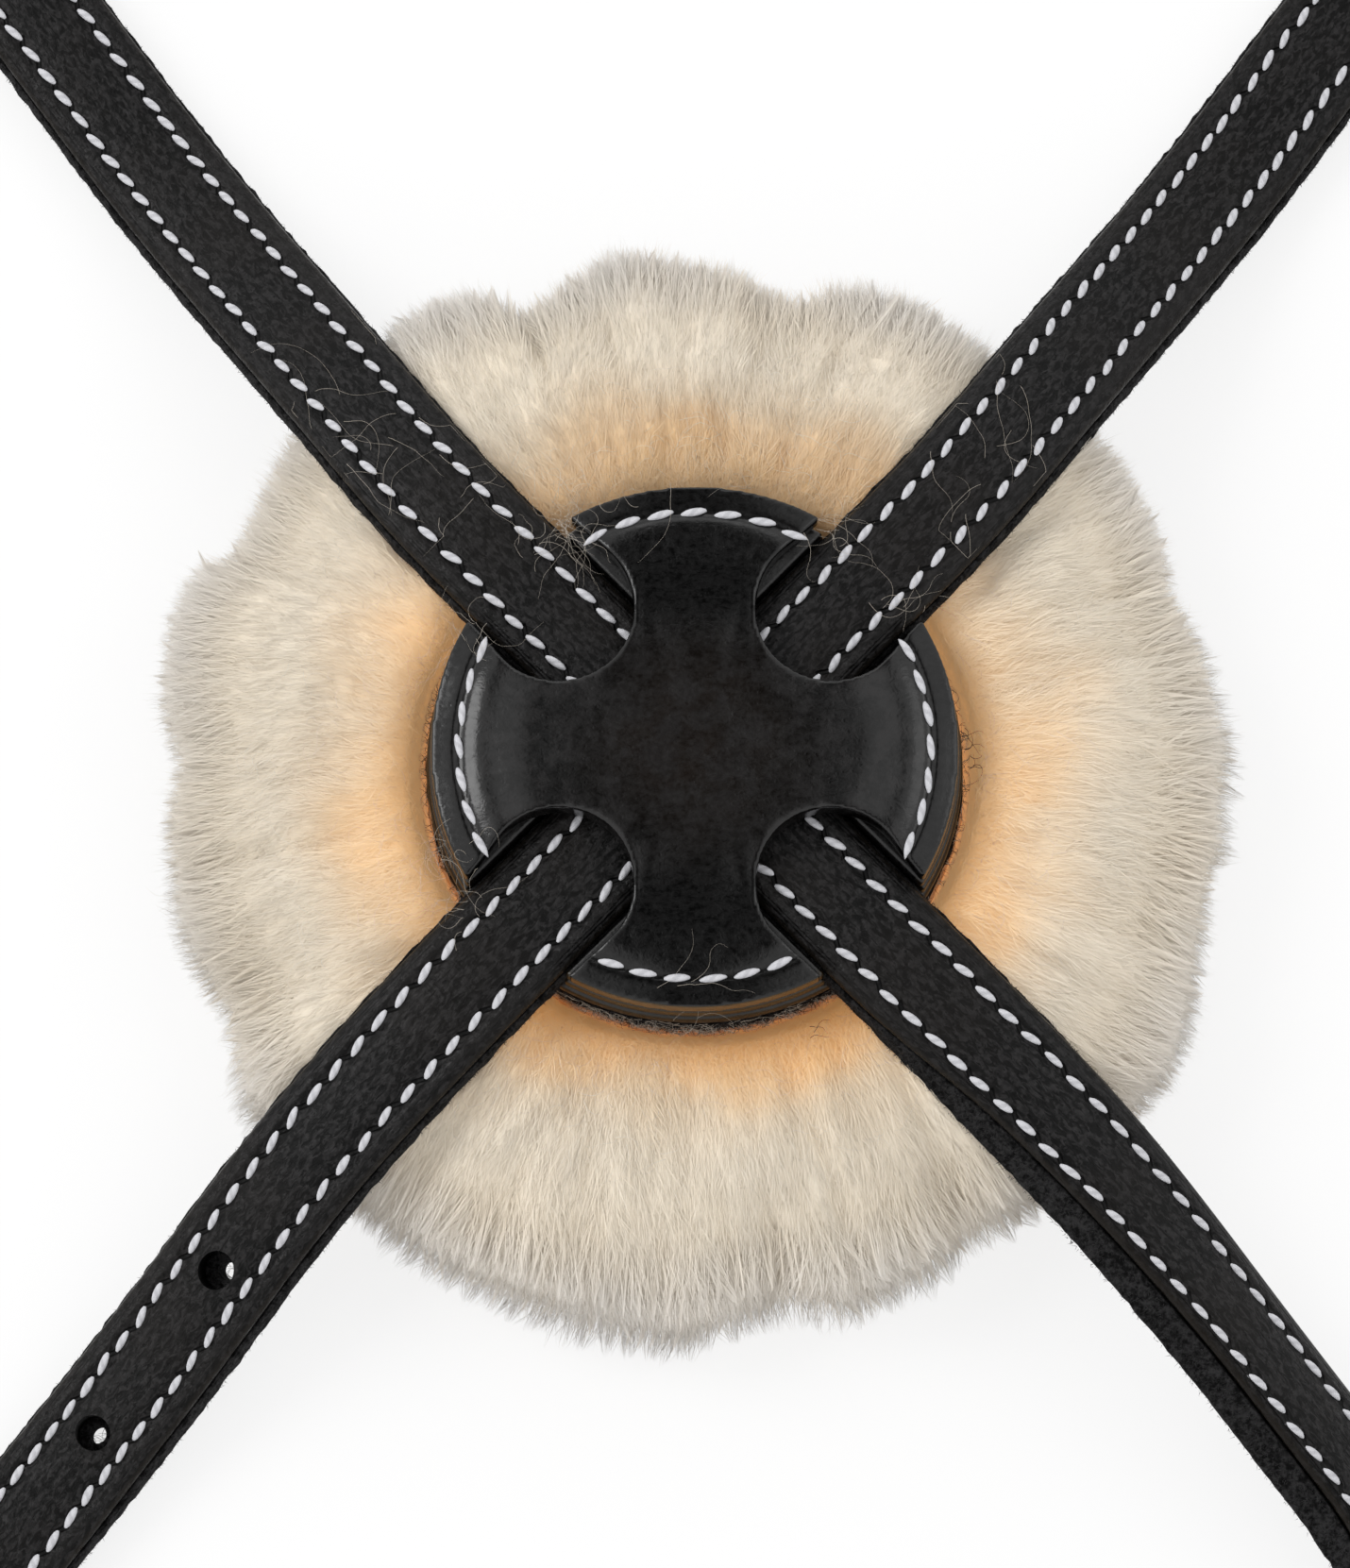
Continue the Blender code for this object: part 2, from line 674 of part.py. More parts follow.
def cross_strap(name, over):
    """The stretch of a strap inside the rosette, skived where it crosses the other."""
    top = STRAP_SEAT + STRAP_THICKNESS
    tip = FOLD_REACH - CLEARANCE / 2
    level = STRAP_SEAT + FOLD_LEVEL
    top_end = tip - (top - level) * math.tan(FOLD_UP_RELIEF)
    low_end = tip - (level - STRAP_SEAT) * math.tan(FOLD_DOWN_RELIEF)
    near = STRAP_WIDTH / 2 + 3 * CLEARANCE
    far = near + CROSSING_SLOPE
    if over:
        floor = STRAP_SEAT + SKIVED_THICKNESS + CLEARANCE
        ceiling = floor + SKIVED_THICKNESS
    else:
        floor = STRAP_SEAT
        ceiling = floor + SKIVED_THICKNESS
    half = [(near, floor), (far, STRAP_SEAT), (low_end, STRAP_SEAT), (tip, level), (top_end, top)]
    half += [(far, top), (near, ceiling)]
    outline = half + [(-x, z) for x, z in reversed(half)]
    made = flat_outline(name, [outline], STRAP_WIDTH / 2)
    angle = math.pi - CROSS_ANGLE if over else CROSS_ANGLE
    made.rotation_euler = (math.pi / 2, 0.0, angle)
    own_material(made, "leather")
    return made


def sheepskin_wool(routes):
    bore = HIDE_RADIUS + WOOL_BORE_GAP
    lip = WOOL_CREST_RADIUS - bore
    rise = WOOL_CREST_HEIGHT - PAD_SEAT_HEIGHT
    fall = WOOL_CREST_HEIGHT - WOOL_WIDEST_HEIGHT
    spread = WOOL_RADIUS - WOOL_CREST_RADIUS
    profile = [(0.0, PAD_SEAT_HEIGHT), (bore, PAD_SEAT_HEIGHT)]
    for share in (0.35, 0.7):
        angle = share * math.pi / 2
        profile.append(
            (bore + lip * (1 - math.cos(angle)), PAD_SEAT_HEIGHT + rise * math.sin(angle))
        )
    for share in (0.0, 0.2, 0.4, 0.6, 0.8, 1.0):
        angle = share * math.pi / 2
        profile.append(
            (
                WOOL_CREST_RADIUS + spread * math.sin(angle),
                WOOL_WIDEST_HEIGHT + fall * math.cos(angle),
            )
        )
    for share in (0.4, 0.75, 1.0):
        angle = share * math.pi / 2
        tuck = WOOL_RADIUS - WOOL_BASE_RADIUS
        profile.append(
            (WOOL_BASE_RADIUS + tuck * math.cos(angle), WOOL_WIDEST_HEIGHT * (1 - math.sin(angle)))
        )
    profile.append((0.0, 0.0))
    mesh = bpy.data.meshes.new("sheepskin_wool")
    edges = [(k, k + 1) for k in range(len(profile) - 1)]
    mesh.from_pydata([(x, 0.0, z) for x, z in profile], edges, [])
    made = new_object("sheepskin_wool", mesh)
    turning = made.modifiers.new("turned", "SCREW")
    turning.axis = "Z"
    turning.steps = WOOL_SIDES
    turning.render_steps = WOOL_SIDES
    turning.use_merge_vertices = True
    turning.merge_threshold = MERGE
    half = STRAP_WIDTH / 2 + GROOVE_SIDE_GAP
    section = [(-half, -GROOVE_GAP), (half, -GROOVE_GAP), (half, WOOL_RADIUS), (-half, WOOL_RADIUS)]
    for name, route in routes.items():
        found = []
        for at in route.stations(FOLD_REACH - CUT_OVERRUN, GROOVE_END):
            place, ahead, left, up = route.frame(at)
            found.append((place, left, up, 1.0, None))
        cut(made, as_cutter(swept("groove_" + name, found, section)))
    own_material(made, "wool")
    return made


def cheek_ring(name, centre, parent):
    bpy.ops.mesh.primitive_torus_add(
        major_radius=RING_RADIUS,
        minor_radius=RING_WIRE,
        major_segments=RING_SIDES,
        minor_segments=WIRE_SIDES,
        location=centre,
    )
    made = take_over(name)
    smooth(made, 60)
    own_material(made, "steel")
    attach(made, parent)
    return made


def standing(route, at, height):
    """A matrix whose X is across the strap, Y up and Z back along it, at that height over it."""
    ahead = route.heading(at)
    left = UP.cross(ahead)
    turn = Matrix((left * -1, UP, left.cross(UP) * -1)).transposed().to_4x4()
    return Matrix.Translation(route.place(at) + UP * height) @ turn


def keeper(name, route, back, parent):
    """A leather band round the strap, with room above it for the billet."""
    inner_half = STRAP_WIDTH / 2 + KEEPER_PLAY
    low, high = -CLEARANCE, STRAP_THICKNESS + KEEPER_ROOM
    outer = rounded_box(
        inner_half + KEEPER_THICKNESS,
        low - KEEPER_THICKNESS,
        high + KEEPER_THICKNESS,
        KEEPER_CORNER + KEEPER_THICKNESS / 2,
        CORNER_STEPS,
    )
    inner = rounded_box(inner_half, low, high, KEEPER_CORNER / 4, 1)
    made = flat_outline(name, [outer, inner], KEEPER_LENGTH / 2)
    made.matrix_world = standing(route, route.end - back, 0.0)
    own_material(made, "leather")
    attach(made, parent)
    return made


def buckle_frame(name, route, parent):
    outline = rounded_box(BUCKLE_HALF_WIDTH, 0.0, BUCKLE_REACH, BUCKLE_CORNER, CORNER_STEPS)
    ahead = route.heading(route.end)
    left = UP.cross(ahead)
    bar = route.place(route.end) + UP * BAR_LEVEL
    corner_free = []
    for x, y in outline:
        near_bar = y < BUCKLE_CORNER
        corner_free.append((math.copysign(BUCKLE_HALF_WIDTH, x), 0.0) if near_bar else (x, y))
    points = []
    for x, y in corner_free:
        point = left * x + ahead * y
        if not points or (point - points[-1]).length > MERGE:
            points.append(point)
    if (points[0] - points[-1]).length < MERGE:
        points.pop()
    made = wire(name, points, BUCKLE_WIRE, True, 1)
    made.location = bar
    own_material(made, "steel")
    attach(made, parent)
    return made


def buckle_tongue(name, route, parent):
    """A pin whose eye goes round the bar and whose tip lies on the front wire."""
    ahead = route.heading(route.end)
    bar = route.place(route.end) + UP * BAR_LEVEL
    reach = BUCKLE_WIRE + CLEARANCE + TONGUE_WIRE
    points = [ahead * (BUCKLE_REACH + TONGUE_OVERHANG) + UP * reach]
    for step in range(TONGUE_EYE_STEPS + 1):
        angle = math.pi / 2 + TONGUE_EYE_TURN * step / TONGUE_EYE_STEPS
        points.append(ahead * reach * math.cos(angle) + UP * reach * math.sin(angle))
    made = wire(name, points, TONGUE_WIRE, False, 1)
    made.location = bar
    own_material(made, "steel")
    attach(made, parent)
    return made


def tongue_slot(name, route, piece):
    """The slot in a turned end that lets the tongue reach the bar."""
    ahead = route.heading(route.end)
    bar = route.place(route.end) + UP * BAR_LEVEL
    front = BAR_HOLLOW + FACE_THICKNESS + CUT_OVERRUN
    bpy.ops.mesh.primitive_cube_add(size=1.0)
    slot = as_cutter(take_over(name))
    tall = 2 * (BAR_LEVEL + CUT_OVERRUN)
    slot.scale = (SLOT_LENGTH + front, SLOT_WIDTH, tall)
    slot.rotation_euler = (0.0, 0.0, math.atan2(ahead.y, ahead.x))
    slot.location = bar + ahead * (front - SLOT_LENGTH) / 2
    cut(piece, slot)


def buckle_end(prefix, route, face, arm):
    """Frame, tongue, fixed keeper and runner at the end of a strap, on pivots of their own."""
    bar = route.place(route.end) + UP * BAR_LEVEL
    pivot(prefix + "_buckle_pivot", bar, arm)
    pivot(prefix + "_tongue_pivot", bar, prefix + "_buckle_pivot")
    pivot(prefix + "_runner_pivot", route.place(route.end - RUNNER_BACK), arm)
    tongue_slot(prefix + "_tongue_slot", route, face)
    buckle_frame(prefix + "_buckle_frame", route, prefix + "_buckle_pivot")
    buckle_tongue(prefix + "_buckle_tongue", route, prefix + "_tongue_pivot")
    keeper(prefix + "_fixed_keeper", route, FIXED_KEEPER_BACK, arm)
    keeper(prefix + "_runner", route, RUNNER_BACK, prefix + "_runner_pivot")


def fold_place(route):
    return route.place(FOLD_REACH) + UP * FOLD_LEVEL


def rosette(routes):
    rosette_cover()
    beside = math.pi / 2 - CROSS_ANGLE
    spacer("top", math.pi / 2, beside)
    spacer("right", 0.0, CROSS_ANGLE)
    spacer("bottom", -math.pi / 2, beside)
    spacer("left", math.pi, CROSS_ANGLE)
    cross_strap("cross_strap_over", True)
    cross_strap("cross_strap_under", False)
    disc("rosette_backing", BACKING_RADIUS, BACKING_BOTTOM, BACKING_THICKNESS, "leather", FACE_EDGE)
    underlay_edge = CLEARANCE
    disc(
        "rosette_underlay",
        UNDERLAY_RADIUS,
        UNDERLAY_BOTTOM,
        UNDERLAY_THICKNESS,
        "suede",
        underlay_edge,
    )
    disc("sheepskin_hide", HIDE_RADIUS, HIDE_BOTTOM, HIDE_THICKNESS, "hide", CLEARANCE)
    sheepskin_wool(routes)


def upper_arm(word, side, route):
    """An arm, its cheek ring and the jaw strap on that ring."""
    arm, ring, jaw = word + "_arm_pivot", word + "_ring_pivot", word + "_jaw_pivot"
    centre = ring_centre(side)
    pivot(arm, fold_place(route))
    tilt = route.place(UPPER_LENGTH) + UP * RING_LEVEL + route.heading(UPPER_LENGTH) * SAGITTA / 2
    pivot(ring, tilt, arm)
    pivot(jaw, centre, ring)
    for piece in strap("upper_" + word, route, FOLD_REACH, (None, RING_TURN), folds=True):
        attach(piece, arm)
    cheek_ring("cheek_ring_" + word, centre, ring)
    jaws = jaw_route(side)
    if side < 0:
        layers = strap("jaw_billet", jaws, 0.0, (RING_TURN, None), pointed=True)
        lengths = [JAW_BILLET_LENGTH - JAW_LAST_HOLE - k * HOLE_PITCH for k in range(JAW_HOLES)]
        punched("jaw_punch", jaws, lengths, layers)
    else:
        layers = strap("jaw_strap", jaws, 0.0, (RING_TURN, BAR_TURN))
        buckle_end("jaw", jaws, layers[0], jaw)
    for piece in layers:
        attach(piece, jaw)


def chin_billet(route):
    pivot("billet_arm_pivot", fold_place(route))
    layers = strap("chin_billet", route, FOLD_REACH, pointed=True, folds=True)
    punched(
        "chin_punch", route, [CHIN_FIRST_HOLE + k * HOLE_PITCH for k in range(CHIN_HOLES)], layers
    )
    for piece in layers:
        attach(piece, "billet_arm_pivot")


def chin_buckle_arm(route):
    pivot("buckle_arm_pivot", fold_place(route))
    face, lining = strap("chin_strap", route, FOLD_REACH, (None, BAR_TURN), folds=True)
    buckle_end("chin", route, face, "buckle_arm_pivot")
    attach(face, "buckle_arm_pivot")
    attach(lining, "buckle_arm_pivot")


def noseband():
    routes = {
        "left": upper_route(-1),
        "right": upper_route(1),
        "billet": billet_route(),
        "buckle": buckle_route(),
    }
    rosette(routes)
    upper_arm("left", -1, routes["left"])
    upper_arm("right", 1, routes["right"])
    chin_billet(routes["billet"])
    chin_buckle_arm(routes["buckle"])


noseband()
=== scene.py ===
"""Looks of the figure eight noseband: raised and stitched straps, rosette, fleece pad, rings, buckles.

The frame's axes hold here too: +Z up from the plane that the fleece lies on, +Y towards the cheek
rings, the origin under the rosette's centre. Every length is in metres.
"""

import math
import random

import bmesh
import bpy
import numpy as np
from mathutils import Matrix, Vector, noise
from mathutils.kdtree import KDTree


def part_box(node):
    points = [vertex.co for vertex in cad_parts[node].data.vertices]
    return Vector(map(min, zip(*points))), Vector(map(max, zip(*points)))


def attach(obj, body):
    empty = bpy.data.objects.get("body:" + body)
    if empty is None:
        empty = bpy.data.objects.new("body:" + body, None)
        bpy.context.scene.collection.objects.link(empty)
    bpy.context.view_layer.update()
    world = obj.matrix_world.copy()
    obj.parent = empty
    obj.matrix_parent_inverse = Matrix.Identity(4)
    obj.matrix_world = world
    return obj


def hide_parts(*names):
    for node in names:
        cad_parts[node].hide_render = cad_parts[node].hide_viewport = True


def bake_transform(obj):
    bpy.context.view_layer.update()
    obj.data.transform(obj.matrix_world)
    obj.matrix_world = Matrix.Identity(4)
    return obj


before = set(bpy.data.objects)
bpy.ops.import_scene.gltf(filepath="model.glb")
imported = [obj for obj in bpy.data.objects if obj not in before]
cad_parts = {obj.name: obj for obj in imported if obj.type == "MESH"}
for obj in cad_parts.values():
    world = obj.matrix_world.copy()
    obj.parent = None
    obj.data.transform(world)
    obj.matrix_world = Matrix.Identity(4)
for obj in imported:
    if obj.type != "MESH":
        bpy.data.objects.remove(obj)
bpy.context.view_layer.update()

# Strap, as the frame has it
STRAP_WIDTH = 0.0130
FACE_THICKNESS = 0.0022
LINING_THICKNESS = 0.0025
LAYER_GAP = 0.0003
FACE_MIDDLE = LINING_THICKNESS + LAYER_GAP + FACE_THICKNESS / 2
LINING_MIDDLE = LINING_THICKNESS / 2
STRAP_SEAT = 0.0190  # underside of the straps at the rosette
KEEPER_LIFT = 0.0020  # underside of the straps at their keepers
CROSS_ANGLE = math.radians(46)
UPPER_ANGLE = math.radians(54)
LOWER_ANGLE = math.radians(51)
UPPER_LENGTH = 0.1900
BILLET_LENGTH = 0.3000
BUCKLE_LENGTH = 0.1900
JAW_BILLET_LENGTH = 0.3000
JAW_STRAP_LENGTH = 0.1150
JAW_SPREAD = math.radians(76)
RING_RADIUS = 0.0160
RING_WIRE = 0.0020
RING_LEVEL = 0.0050
RING_TURN = (0.0028, 0.00088)  # half the height inside a loop, and its slack
BUCKLE_WIRE = 0.0013
BUCKLE_HALF_WIDTH = 0.0083
BUCKLE_REACH = 0.0150
BUCKLE_CORNER = 0.0035
BAR_LEVEL = 0.0038
BAR_TURN = (0.0016, 0.0)
TONGUE_WIRE = 0.0010
TURN_LEAD = 0.0200
TURN_LAP = 0.0260
POINT_LENGTH = 0.0140
HOLE_RADIUS = 0.0020
FIBRE_HOLE = 0.0010  # left open by the lining's fibres
HOLE_PITCH = 0.0220
CHIN_FIRST_HOLE = 0.0720
JAW_LAST_HOLE = 0.0520
HOLES = 9
BARE_FACE = 0.0014  # how far the face of the chin strap's outer edge is drawn in
BARE_FOOT = 0.0005
FOLD_START = 0.0275  # where an arm begins to follow its own body
FOLD_END = 0.0345
INNER_END = 0.0085  # of an arm, under the cover

# Rosette, as the frame has it
COVER_RADIUS = 0.0280
COVER_THICKNESS = 0.0026
COVER_LEVEL = 0.0243  # underside of the cover over the straps
COVER_LEVEL_REACH = 0.0175
COVER_DROP = 0.0010
SPACER_BOTTOM = 0.0190
SPACER_THICKNESS = 0.0040
SPACER_BESIDE = 0.0071  # from a strap's middle
LOWER_SPACER_RADIUS = 0.02840
UPPER_SPACER_RADIUS = 0.02815
UNDERLAY_RADIUS = 0.0288
DISC_SQUASH = 0.978  # the rosette's layers are a little shorter along Y than across
NOTCH_RADIUS = 0.0080
NOTCH_REACH = 0.0208
NOTCH_MOUTH = 0.0139
LOBE_CORNER = 0.0006
RIM_CLEAR = 0.0291  # the fleece's fibres keep out of this radius
WOOL_REACH = 0.0548  # widest radius of the wool's profile
FIBRE_REACH = 0.0021  # of the fibres past the wool's body
ARM_HALF = 0.0067  # the wool is held down within this distance of an arm's middle
BESIDE_ARM = 0.0078  # and free beyond this one
PRESSED_REACH = 0.0670  # radius beyond which no arm presses on it

# Stitching
STITCH_PITCH = 0.003175
ROW_OFFSET = 0.00375  # of a row from the strap's middle
STITCH_SLANT = math.radians(13)
SLIT_SLANT = math.radians(32)
RIM_PITCH = 0.00365
RIM_ROW = 0.0250  # radius of the cover's stitching

UP = Vector((0.0, 0.0, 1.0))
ROUTE_STEP = 0.0005
MERGE = 0.000001
CUTTER_DEPTH = 0.0200
THIRDS = (0.0, math.tau / 3, 2 * math.tau / 3)
chance = random.Random(8)
draws = np.random.default_rng(8)


def eased(knots, at):
    """A value that goes smoothly through (place, value) knots and holds beyond them."""
    if at <= knots[0][0]:
        return knots[0][1]
    for (start, low), (end, high) in zip(knots, knots[1:]):
        if at <= end:
            share = (at - start) / (end - start)
            return low + (high - low) * share * share * (3 - 2 * share)
    return knots[-1][1]


def smooth_share(values, low, high):
    share = np.clip((values - low) / (high - low), 0.0, 1.0)
    return share * share * (3 - 2 * share)


def unit(rows):
    """Rows of vectors, each made one long."""
    return rows / (np.linalg.norm(rows, axis=-1, keepdims=True) + 1e-12)


def radial_ways(angle):
    """Level ways out from the rosette's middle."""
    return np.stack([np.cos(angle), np.sin(angle), np.zeros(len(angle))], 1)


def round_ways(angle):
    """Level ways round the rosette, anticlockwise."""
    return np.stack([-np.sin(angle), np.cos(angle), np.zeros(len(angle))], 1)


def swung(ways, aside, angle):
    """The ways, each turned by its own angle towards its way aside."""
    return ways * np.cos(angle)[:, None] + aside * np.sin(angle)[:, None]


def field(points, scale, seed=0.0):
    """Smooth noise at each point."""
    moved = points * scale
    moved[:, 2] += seed
    return np.array([noise.noise(Vector(p)) for p in moved.tolist()])


class Route:
    """The middle of a strap's underside, by the length along it in plan."""

    def __init__(self, start, headings, heights, rolls, end):
        self.headings, self.heights, self.rolls, self.end = headings, heights, rolls, end
        self.places = [Vector((start[0], start[1], 0.0))]
        for step in range(round(end / ROUTE_STEP)):
            angle = eased(headings, (step + 0.5) * ROUTE_STEP)
            way = Vector((math.cos(angle), math.sin(angle), 0.0))
            self.places.append(self.places[-1] + way * ROUTE_STEP)

    def heading(self, at):
        angle = eased(self.headings, at)
        return Vector((math.cos(angle), math.sin(angle), 0.0))

    def place(self, at):
        index = min(int(at / ROUTE_STEP), len(self.places) - 2)
        share = at / ROUTE_STEP - index
        flat = self.places[index].lerp(self.places[index + 1], share)
        return flat + UP * eased(self.heights, at)

    def frame(self, at):
        """(place, the way along, the way to the left, the way up) there, with the strap's roll."""
        rise = eased(self.heights, at + ROUTE_STEP) - eased(self.heights, at - ROUTE_STEP)
        ahead = (self.heading(at) + UP * rise / (2 * ROUTE_STEP)).normalized()
        left = UP.cross(self.heading(at))
        roll = eased(self.rolls, at)
        left = left * math.cos(roll) + ahead.cross(left) * math.sin(roll)
        return self.place(at), ahead, left, ahead.cross(left)


def upper_route(side):
    """side is -1 for the left arm, 1 for the right."""
    inner = CROSS_ANGLE if side > 0 else math.pi - CROSS_ANGLE
    outer = UPPER_ANGLE if side > 0 else math.pi - UPPER_ANGLE
    heights = ((0.0305, STRAP_SEAT), (0.1000, 0.0))
    return Route((0.0, 0.0), ((0.0280, inner), (0.0520, outer)), heights, ((0.0, 0.0),), UPPER_LENGTH)


def billet_route():
    roll = math.radians(6)
    headings = ((0.0420, CROSS_ANGLE - math.pi), (0.0760, LOWER_ANGLE - math.pi))
    heights = ((0.0305, STRAP_SEAT), (0.1020, 0.0))
    rolls = ((0.0330, 0.0), (0.0700, roll), (0.0900, roll), (0.1200, 0.0))
    return Route((0.0, 0.0), headings, heights, rolls, BILLET_LENGTH)


def buckle_route():
    roll = math.radians(-33)
    headings = ((0.0420, -CROSS_ANGLE), (0.0760, -LOWER_ANGLE))
    heights = ((0.0305, STRAP_SEAT), (0.1250, KEEPER_LIFT))
    rolls = ((0.0330, 0.0), (0.0880, roll), (0.1000, roll), (0.1280, 0.0))
    return Route((0.0, 0.0), headings, heights, rolls, BUCKLE_LENGTH)


def ring_centre(side):
    route = upper_route(side)
    return route.place(UPPER_LENGTH) + route.heading(UPPER_LENGTH) * RING_RADIUS + UP * RING_LEVEL


def jaw_route(side):
    """From the ring's wire outwards. The left one is the billet, the right one carries the buckle."""
    back = upper_route(side).heading(UPPER_LENGTH) * -1
    angle = math.atan2(back.y, back.x) + JAW_SPREAD
    start = ring_centre(side) + Vector((math.cos(angle), math.sin(angle), 0.0)) * RING_RADIUS
    heights = ((0.0, 0.0),)
    if side > 0:
        heights = ((0.0280, 0.0), (0.0460, KEEPER_LIFT))
    length = JAW_STRAP_LENGTH if side > 0 else JAW_BILLET_LENGTH
    return Route((start.x, start.y), ((0.0, angle),), heights, ((0.0, 0.0),), length)


def turned_end(hollow, slack):
    """(along, up) points of the face's middle as it rises over a wire, turns and runs back under."""
    middle = FACE_THICKNESS + hollow
    reach = hollow + FACE_THICKNESS / 2
    climb = ((-TURN_LEAD, FACE_MIDDLE), (0.0, middle + reach))
    points = []
    for step in range(16):
        along = -TURN_LEAD * (1 - step / 16)
        points.append((along, eased(climb, along)))
    for step in range(25):
        angle = math.pi * (0.5 - step / 24)
        points.append((slack + reach * math.cos(angle), middle + reach * math.sin(angle)))
    points += [(-TURN_LAP * step / 12, FACE_THICKNESS / 2) for step in range(1, 13)]
    return points


class Path:
    """A strap layer's middle line with its left and up, by length, for laying a flat piece on."""

    def __init__(self, route, level, start, end, turn_in=None, turn_out=None):
        first = TURN_LEAD if turn_in else start
        last = end - TURN_LEAD if turn_out else end
        rows = []
        count = max(2, round((last - first) / 0.001))
        for step in range(count + 1):
            at = first + (last - first) * step / count
            place, _, left, up = route.frame(at)
            rows.append((at, place + up * level, left, up))
        if turn_in:
            rows = self.turned(route, turn_in, True, first) + rows[1:]
        if turn_out:
            rows = rows[:-1] + self.turned(route, turn_out, False, last)
        self.at = np.array([row[0] for row in rows])
        self.columns = [np.array([row[k] for row in rows]) for k in (1, 2, 3)]

    @staticmethod
    def turned(route, turn, at_start, join):
        at = 0.0 if at_start else route.end
        out = route.heading(at) * (-1 if at_start else 1)
        left = UP.cross(route.heading(at))
        foot = route.place(at)
        points = [foot + out * along + UP * up for along, up in turned_end(*turn)]
        lengths = [0.0]
        for one, two in zip(points, points[1:]):
            lengths.append(lengths[-1] + (two - one).length)
        if at_start:
            points.reverse()
            lengths = [join - length for length in reversed(lengths)]
        else:
            lengths = [join + length for length in lengths]
        rows = []
        for k, point in enumerate(points):
            ahead = points[min(k + 1, len(points) - 1)] - points[max(k - 1, 0)]
            rows.append((lengths[k], point, left, ahead.normalized().cross(left)))
        return rows

    def sample(self, at):
        """(places, lefts, ups) at an array of lengths."""
        found = []
        for column in self.columns:
            found.append(np.stack([np.interp(at, self.at, column[:, k]) for k in range(3)], 1))
        for ways in found[1:]:
            ways /= np.linalg.norm(ways, axis=1, keepdims=True)
        return found

    def lay(self, flat):
        """Points (along, across, up) of a flat piece, laid on the path."""
        places, lefts, ups = self.sample(flat[:, 0])
        return places + lefts * flat[:, 1:2] + ups * flat[:, 2:3]


def select_nothing():
    if bpy.context.mode != "OBJECT":
        bpy.ops.object.mode_set(mode="OBJECT")
    bpy.ops.object.select_all(action="DESELECT")


def pick(piece):
    """Selects this piece alone."""
    select_nothing()
    piece.select_set(True)
    bpy.context.view_layer.objects.active = piece


def take(name):
    """Names the piece that an operator has just made."""
    piece = bpy.context.active_object
    piece.name = name
    piece.data.name = name
    return piece


def cylinder(name, sides, radius, low, high):
    """A round upright form from one height to another."""
    select_nothing()
    bpy.ops.mesh.primitive_cylinder_add(
        vertices=sides, radius=radius, depth=high - low, location=(0.0, 0.0, (high + low) / 2)
    )
    return take(name)


def points_of(mesh):
    found = np.empty(len(mesh.vertices) * 3)
    mesh.vertices.foreach_get("co", found)
    return found.reshape(-1, 3)


def move_points(mesh, points):
    mesh.vertices.foreach_set("co", np.ascontiguousarray(points, dtype=np.float64).ravel())
    mesh.update()


def apply_modifiers(piece):
    pick(piece)
    for step in list(piece.modifiers):
        bpy.ops.object.modifier_apply(modifier=step.name)


def apply_place(piece):
    pick(piece)
    bpy.ops.object.transform_apply(location=True, rotation=True, scale=True)


def smooth_faces(piece, angle):
    """Shades the faces smooth across edges below this many degrees."""
    pick(piece)
    bpy.ops.object.shade_smooth_by_angle(angle=math.radians(angle))


def join_seams(fill=False):
    """Joins the active piece's double points, may close its ends, and turns its faces outwards."""
    bpy.ops.object.mode_set(mode="EDIT")
    bpy.ops.mesh.select_all(action="SELECT")
    bpy.ops.mesh.remove_doubles(threshold=MERGE)
    if fill:
        bpy.ops.mesh.fill_holes(sides=0)
        bpy.ops.mesh.select_all(action="SELECT")
    bpy.ops.mesh.normals_make_consistent(inside=False)
    bpy.ops.object.mode_set(mode="OBJECT")


def rub_edges(piece, width, segments):
    """Will round each sharp edge when the piece's modifiers are applied."""
    rounding = piece.modifiers.new("rubbed_edge", "BEVEL")
    rounding.width = width
    rounding.segments = segments
    rounding.limit_method = "ANGLE"
    rounding.angle_limit = math.radians(60)


def cut_away(piece, cutter):
    """Takes the cutter's form out of the piece, and removes the cutter."""
    step = piece.modifiers.new("cut", "BOOLEAN")
    step.operation = "DIFFERENCE"
    step.solver = "EXACT"
    step.object = cutter
    apply_modifiers(piece)
    bpy.data.objects.remove(cutter, do_unlink=True)


def mesh_of(name, points, faces, map_name=None, places=None, normals=None):
    """A piece from arrays: points, triangles, and a map place for each corner of each triangle."""
    mesh = bpy.data.meshes.new(name)
    faces = np.asarray(faces, dtype=np.int32)
    mesh.vertices.add(len(points))
    mesh.vertices.foreach_set("co", np.asarray(points, dtype=np.float32).ravel())
    mesh.loops.add(faces.size)
    mesh.loops.foreach_set("vertex_index", faces.ravel())
    mesh.polygons.add(len(faces))
    mesh.polygons.foreach_set("loop_start", np.arange(0, faces.size, 3, dtype=np.int32))
    mesh.polygons.foreach_set("loop_total", np.full(len(faces), 3, dtype=np.int32))
    mesh.update(calc_edges=True)
    if map_name:
        layer = mesh.uv_layers.new(name=map_name)
        layer.data.foreach_set("uv", np.asarray(places, dtype=np.float32).ravel())
    mesh.validate()
    piece = bpy.data.objects.new(name, mesh)
    bpy.context.scene.collection.objects.link(piece)
    mesh.shade_smooth()
    if normals is not None:
        mesh.normals_split_custom_set_from_vertices(np.asarray(normals, dtype=np.float32))
    return piece


